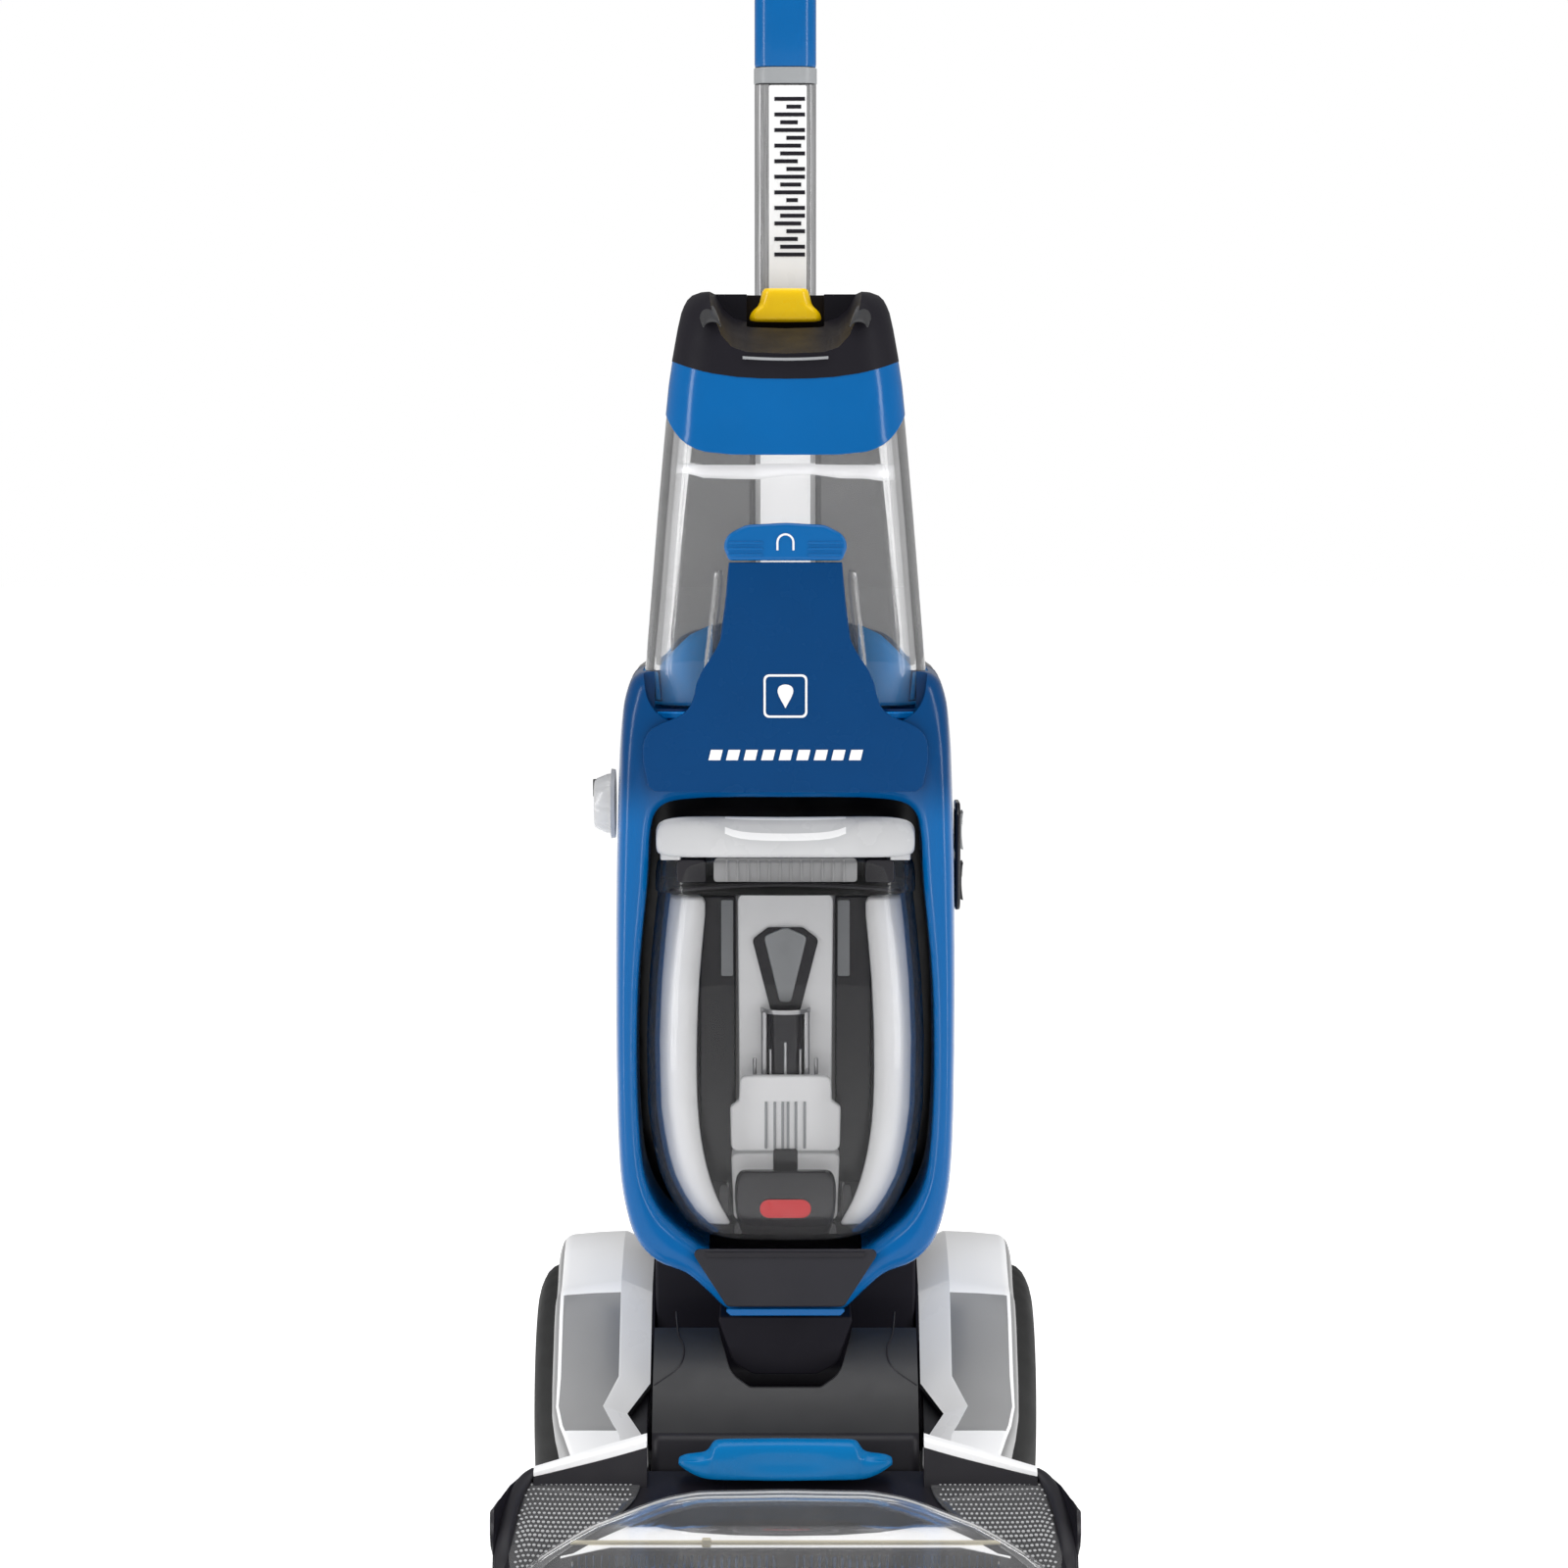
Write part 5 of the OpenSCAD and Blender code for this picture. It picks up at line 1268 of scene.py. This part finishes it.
BUMPER = [(141, 1.0), (147, 0.98), (151.5, 0.93), (154.5, 0.84), (156.5, 0.7), (157.6, 0.52), (157.6, 0.36),
          (156.2, 0.22), (153, 0.13), (147, 0.07), (138, 0.04)]


def cover_point(x, share, up=0.0):
    """A point on the nozzle cover: share runs from 0 at the front foot to 1 at the rear edge."""
    y0, y1 = lookup(abs(x), FRONT_AT), lookup(abs(x), REAR_AT)
    base = -218 + 117 * share
    y = y0 + (base + 218) * (y1 - y0) / 117
    z = lookup(base, COVER) - 10 * (max(0.0, abs(x) - 136) / 24) ** 2.2
    return (x, y, z + up)


def on_cover(x, y, up):
    """A point above the nozzle cover's middle profile."""
    return (x, y, lookup(y, COVER) + up)


def build_nozzle():
    """The black nozzle cover, open over the front brush, and the bumper round each side of it."""
    xs = [-159.6, -158.6, -156.5, -153, -148, -142, -134, -122, -104, -80, -52, -26, 0, 26, 52, 80, 104, 122, 134, 142,
          148, 153, 156.5, 158.6, 159.6]
    shares = [0.0, 0.02, 0.05, 0.1, 0.17, 0.25, 0.34, 0.44, 0.55, 0.66, 0.78, 0.9, 0.97, 1.0]
    rows = [[cover_point(x, s) for x in xs] for s in shares]
    rows.append([(x, y, z - 26) for x, y, z in rows[-1]])
    skin = foot_part("nozzle_body", strip(rows), "nozzle_black", "nozzle_cover", solid=2.4, angle=45)
    boolean(skin, [prism(pad(-116, -196, 116, -166.5, 6, 4), "z", 30.0, 75.0)])
    wide, tall, up = 4.6, 3.0, Vector((0, 0, 1))
    for side, name in SIDES:
        fine = smooth_line([cover_point(x, share) for x, share in BUMPER], 3)
        rings = []
        for i, p in enumerate(fine):
            a, b = Vector(fine[max(0, i - 1)]), Vector(fine[min(len(fine) - 1, i + 1)])
            d = (b - a).normalized()
            out = Vector((d.y, -d.x, 0)).normalized()
            if out.x < 0:
                out = -out
            ring = []
            for t in turned(12):
                q = Vector(p) - out * 3.4 + out * (wide * math.cos(t)) + up * (tall * math.sin(t) + 0.6)
                q.x = min(q.x, 159.9)
                ring.append((side * q.x, q.y, max(3.0, q.z)))
            rings.append(ring)
        foot_part("bumper_" + name, loft(rings), "satin_black", sub=1)


def build_side_plates():
    """Smoked side plates with a pattern of raised dots."""
    for side, name in SIDES:
        rows = []
        for s in [0.2 + 0.062 * k for k in range(13)]:
            inner, outer = lookup(s, PLATE_INNER), lookup(s, PLATE_OUTER)
            points = [cover_point(inner + (outer - inner) * j / 10, s, 1.5) for j in range(11)]
            rows.append([(side * x, y, z) for x, y, z in points])
        plate_part("dotted_plate_" + name, strip(rows), "smoke_plate", solid=1.0, sub=1)
        dots = []
        for i in range(24):
            for j in range(20):
                s = 0.27 + 0.66 * j / 19
                x = 86.0 + 2.75 * i + (1.4 if j % 2 else 0.0)
                if not lookup(s, PLATE_INNER) + 4.0 < x < lookup(s, PLATE_OUTER) - 3.5:
                    continue
                r = 1.05 - 0.5 * abs(s - 0.5) / 0.45
                cx, cy, cz = cover_point(x, s, 1.62)
                v = [(side * (cx + r * math.cos(t)), cy + r * math.sin(t), cz + r * math.sin(t) * PLATE_SLOPE)
                     for t in turned(6)]
                top = [(x1, y1 - 0.1, z1 + 0.28) for x1, y1, z1 in v]
                dots.append(loft([v, top], (False, True)))
        plate_part("plate_dots_" + name, join(*dots), "light_grey")


def build_window():
    """The clear window: a sheet over the front of the cover, whose rear edge arches up at the middle."""
    xs = [-141, -140.4, -139, -130, -118, -104, -90, -76, -64, -56, -48, -32, -16, 0, 16, 32, 48, 56, 64, 76, 90, 104,
          118, 130, 139, 140.4, 141]
    rows = []
    for k in range(19):
        share = k / 18
        row = []
        for x in xs:
            y1 = lookup(abs(x), WINDOW_REAR)
            y = -227.6 + (y1 + 227.6) * share ** 1.15
            drop = 3.2 * (max(0.0, abs(x) - 137) / 4) ** 2
            z = lookup(y, WINDOW) if k else 5.0
            row.append((x, y, z - drop))
        rows.append(row)
    rows.append([(x, y + 0.8, z - 2.6) for x, y, z in rows[-1]])
    window_part("suction_window", strip(rows), "glassy", "nozzle_window", solid=1.6, angle=60)


def build_inlet():
    """Under the window: a glowing white surround of the suction inlet that stands for the highlights there (painted
    highlight), a black sheet for the shaded inlet (painted shade), and the spray bar.
    """
    rows = []
    for k in range(13):
        row = []
        for j in range(-18, 19):
            x = 122.0 * j / 18
            y1 = min(lookup(abs(x), WINDOW_REAR) - 2.5, -122.0)
            y0 = -165.0 - 8.0 * max(0.0, (abs(x) - 96.0) / 26.0)
            row.append(on_cover(x, y0 + (max(y1, y0 + 1.0) - y0) * k / 12, 0.9))
        rows.append(row)
    # glowing white plate standing for the highlights beside the inlet: painted highlight
    silver_part("inlet_surround", strip(rows), "inlet_white", solid=0.6)
    rows = []
    for k in range(11):
        t = -math.cos(math.pi * k / 10)
        hw = 78.0 * math.sqrt(max(0.0, 1 - abs(t) ** 2.6)) + 0.5
        rows.append([on_cover(hw * j / 16, -139.0 + 17.5 * t, 1.8 - 0.7 * abs(j / 16) ** 6) for j in range(-16, 17)])
    # black sheet standing for the shade inside the suction inlet: painted shade
    foot_part("inlet_dark", strip(rows), "nozzle_black", solid=0.8)
    for side, name in SIDES:
        bead = []
        for k in range(9):
            x = 20.0 + 42.0 * k / 8
            c = on_cover(x, -130.5 - 6.0 * (k / 8) ** 2, 2.6)
            bead.append([(side * c[0], c[1] + 2.0 * math.cos(t), c[2] + 0.9 * math.sin(t)) for t in turned(8)])
        cover_part("inlet_lobe_" + name, loft(bead), "dark_grey", sub=1)
    bar_z = lookup(-163.0, COVER) + 1.9
    inlet_part("spray_bar", tube((-117, -163.0, bar_z), (117, -163.0, bar_z), 1.3, 16), "cream", bevel=0.4)
    inlet_part("spray_clip", box((-45.5, -165.4, bar_z - 2.4), (-40.5, -160.8, bar_z + 2.4)), "cream", bevel=0.8)


def build_window_edges():
    """The window's rear rim, a white bead that stands for the highlight along its edge (painted highlight), and its
    rubber lip.
    """
    edge = []
    for x in range(-134, 135, 6):
        y1 = lookup(abs(x), WINDOW_REAR) - 0.9
        z = lookup(y1, WINDOW) - 1.2
        edge.append([(x, y1 + 0.8 * math.cos(t), z + 0.7 * math.sin(t)) for t in turned(8)])
    # white bead for the highlight along the window's rear edge: painted highlight
    window_part("window_rim", loft(edge), "white", sub=1)
    lip = prism(rounded([(-227.2, 1.6, 0.8), (-223.2, 1.6, 0.8), (-223.2, 4.0, 0.5), (-227.2, 4.0, 0.5)], 3), "x", -136,
                136)
    make("lip_strip", *lip, "rubber", "suction_window", "rubber_part", ("nozzle_lip_seal",))


def build_trims():
    """Silver trim strips with a dark line beneath."""
    for side, name in SIDES:
        line = smooth_line([(77, 104.0), (92, 99.6), (112, 94.2), (132, 88.8), (140, 86.8)], 4)
        rings = []
        for x, z in line:
            t = 2.5 - 0.9 * max(0.0, (x - 100) / 40)
            section = [(-112.2, z - t), (-112.6, z + t * 0.7), (-110.8, z + t * 1.4), (-105.5, z + t * 1.8),
                       (-104.2, z + t), (-104.2, z - t)]
            rings.append([(side * x, y, zz) for y, zz in section])
        # the strips' silver glows a little: painted light
        silver_part("trim_" + name, loft(rings), "silver_top", *(("trim_strips",) if side > 0 else ()), bevel=0.5)
        under = [[(side * x, y, zz) for y, zz in ((-113.4, 79.0), (-112.6, z - 2.2), (-102, z - 2.2), (-100, 79.0))]
                 for x, z in line]
        foot_part("trim_shadow_" + name, loft(under), "satin_black", bevel=0.3)


def build_latch():
    """The blue window latch: a raised middle between two ears, with a pressed dish in front."""
    xs = [-59.5, -58.6, -56, -50, -45, -42.5, -40.5, -38, -30, -20, -10, 0, 10, 20, 30, 38, 40.5, 42.5, 45, 50, 56,
          58.6, 59.5]
    rings = []
    for x in xs:
        a = abs(x)
        top = lookup(a, [(0, 106.6), (38, 106.2), (40.5, 104.6), (42.5, 100.4), (45, 98.8), (56, 97.6), (59.5, 95.0)])
        low = lookup(a, [(0, 83.4), (44, 84.0), (52, 86.6), (59.5, 92.0)])
        front = lookup(a, [(0, -118.2), (38, -118.2), (42.5, -116.6), (56, -116.2), (59.5, -113.0)])
        rear = lookup(a, [(0, -96.6), (40, -96.8), (45, -101), (56, -103), (59.5, -106.0)])
        dish = 1.6 * max(0.0, 1 - (a / 30) ** 4)
        mid = low + (top - low) * 0.5
        ring = [(front + 1.6, low), (front, low + 2.2), (front + dish, mid - 1.0),
                (front + 0.3 + dish * 0.6, mid + 2.5), (front + 1.6, top - 3.4), (front + 5.0, top - 0.6),
                (front + 9.0, top), (rear - 4.0, top - 2.2), (rear, min(top - 5.0, 99.0)), (rear, min(top - 6.0, 94.2)),
                (-112.6, 93.0), (-113.6, low + 1.0)]
        rings.append([(x, y, z) for y, z in ring])
    # the latch is in a lighter blue that stands for its highlights: painted light
    make("window_latch_grip", *loft(rings), "blue_latch", "window_latch", "gloss_blue", ("nozzle_latch",), sub=2)


build_nozzle()
build_side_plates()
build_window()
build_inlet()
build_window_edges()
build_trims()
build_latch()


# ---- underside, neck and remaining parts -------------------------------------------------------------------

def build_neck():
    """The pivot drum between the arms, with ribs, and the dark bowl under the frame's tip."""
    profile = [(10, -69.6), (55, -69.6), (57.4, -67.6), (57.8, -62)]
    for k in range(-5, 6):
        c = 11.0 * k
        profile += [(57.8, c - 4.0), (56.6, c - 3.2), (56.6, c - 0.8), (57.8, c)]
    profile += [(57.8, 62), (57.4, 67.6), (55, 69.6), (10, 69.6)]
    rear_part("pivot_drum", loft(lathe_x(profile)), "neck_dark", "neck_housing", angle=28)
    for side, name in SIDES:
        rear_part("pivot_boss_" + name, tube((side * 69, *PIVOT), (side * 91.8, *PIVOT), 13.9, 48), "satin_black",
                  bevel=0.6)
    for side, name in SIDES:
        cheek = prism(rounded([(-20, 100, 4), (118, 100, 4), (118, 172, 16), (60, 181, 20), (16, 166, 10)], 5), "x",
                      side * 75.9, side * 77.6)
        foot_part("fender_cheek_" + name, cheek, "neck_dark", bevel=0.3)
    side_line = rounded([(8.4, 197, 0), (8.4, 120, 16), (50, 94, 0), (139, 94, 0), (124, 150, 6), (123.6, 197, 0)], 6)
    rings = []
    for x, k in ((-75.6, 0.965), (-74.6, 0.99), (-66, 1.0), (66, 1.0), (74.6, 0.99), (75.6, 0.965)):
        rings.append([(x, 66 + (y - 66) * k, 145 + (z - 145) * k) for y, z in side_line])
    rear_part("neck_block", loft(rings), "neck_dark", bevel=0.8)
    bowl = rounded(mirrored([(18, 128.8, 8), (29.5, 135, 12), (38, 160, 3), (37, 162.4, 1)]), 6)
    rear_part("neck_bowl", prism(bowl, "y", -50.0, 12.0), "neck_dark", bevel=3.0, steps=4)


def build_apron():
    """The dark catch below the dirty tank: a trapezoid with a ribbed face, edged by the frame."""
    corners = rounded([(-33, 170.6, 4), (33, 170.6, 4), (54, 203.6, 3), (-54, 203.6, 3)], 5)
    apron_part("catch_plate", prism(corners, "y", -63.6, -60.2), "cover_dark", "bay_apron", bevel=1.2, steps=3)
    rib = rounded([(-44, 199.2, 1), (44, 199.2, 1), (46, 202.2, 1), (-46, 202.2, 1)], 3)
    apron_part("catch_step", prism(rib, "y", -64.6, -63.2), "satin_black", bevel=0.6)
    low = rounded([(-31, 165.6, 2), (31, 165.6, 2), (35, 169.4, 1), (-35, 169.4, 1)], 3)
    blue_part("frame_tip_lip", prism(low, "y", -63.0, -59.4), "blue", bevel=0.9, steps=3)


def tuft(x, y, angle, tip, lean):
    """A four-sided bristle tuft from the core out to the radius tip, which leans along the roll."""
    rings = []
    for r, w, dx in ((11.6, 0.5, 0.0), (tip, 0.42, lean)):
        ring = []
        for j in range(4):
            t = math.pi / 2 * j + 0.4
            u, v = w * math.cos(t), w * math.sin(t)
            ring.append((x + dx + u, y + r * math.cos(angle) - v * math.sin(angle),
                         BRUSH_Z + r * math.sin(angle) + v * math.cos(angle)))
        rings.append(ring)
    return loft(rings, (False, True))


def build_brush(y, body):
    """A roll's bristles: six rows of tufts that spiral in from both ends."""
    rng = random.Random(int(-y))
    tufts = []
    for row in range(6):
        for k in range(58):
            x = -118.5 + 237.0 * k / 57
            if abs(x) < 3:
                continue
            start = math.radians(60 * row + 0.42 * (abs(x) - 60))
            for _ in range(3):
                angle = start + rng.uniform(-0.05, 0.05)
                tip = 22.7 - rng.uniform(0.0, 0.5)
                tufts.append(tuft(x, y, angle, tip, rng.uniform(-0.7, 0.7)))
    make(body + "_tufts", *join(*tufts), "bristle", body, "bristle_blue", (body + "_bristles",), angle=60)


def finish_cad_nodes():
    """Finishes for the CAD parts that keep their own shape."""
    look = {"foot_black": "satin_black", "cover_grey": "dark_grey", "silver_trim": "silver", "rubber_part": "rubber",
            "steel_part": "steel", "gloss_blue": "blue", "shell_black": "black", "smoke_sleeve": "white",
            "bristle_blue": "bristle", "float_white": "white", "knob_grey": "light_grey", "stack_grey": "light_grey",
            "tube_silver": "alloy", "lid_grey": "light_grey", "gloss_black": "black"}
    slots = {p["node"]: p["material_slot"] for p in frame["record"]["subparts"]}
    for name, ob in frame["nodes"].items():
        finish = M[look.get(slots[name], "satin_black")]
        ob.data.materials.clear()
        ob.data.materials.append(finish)


build_neck()
build_apron()
for brush_y, brush_body in BRUSHES:
    build_brush(brush_y, brush_body)
finish_cad_nodes()
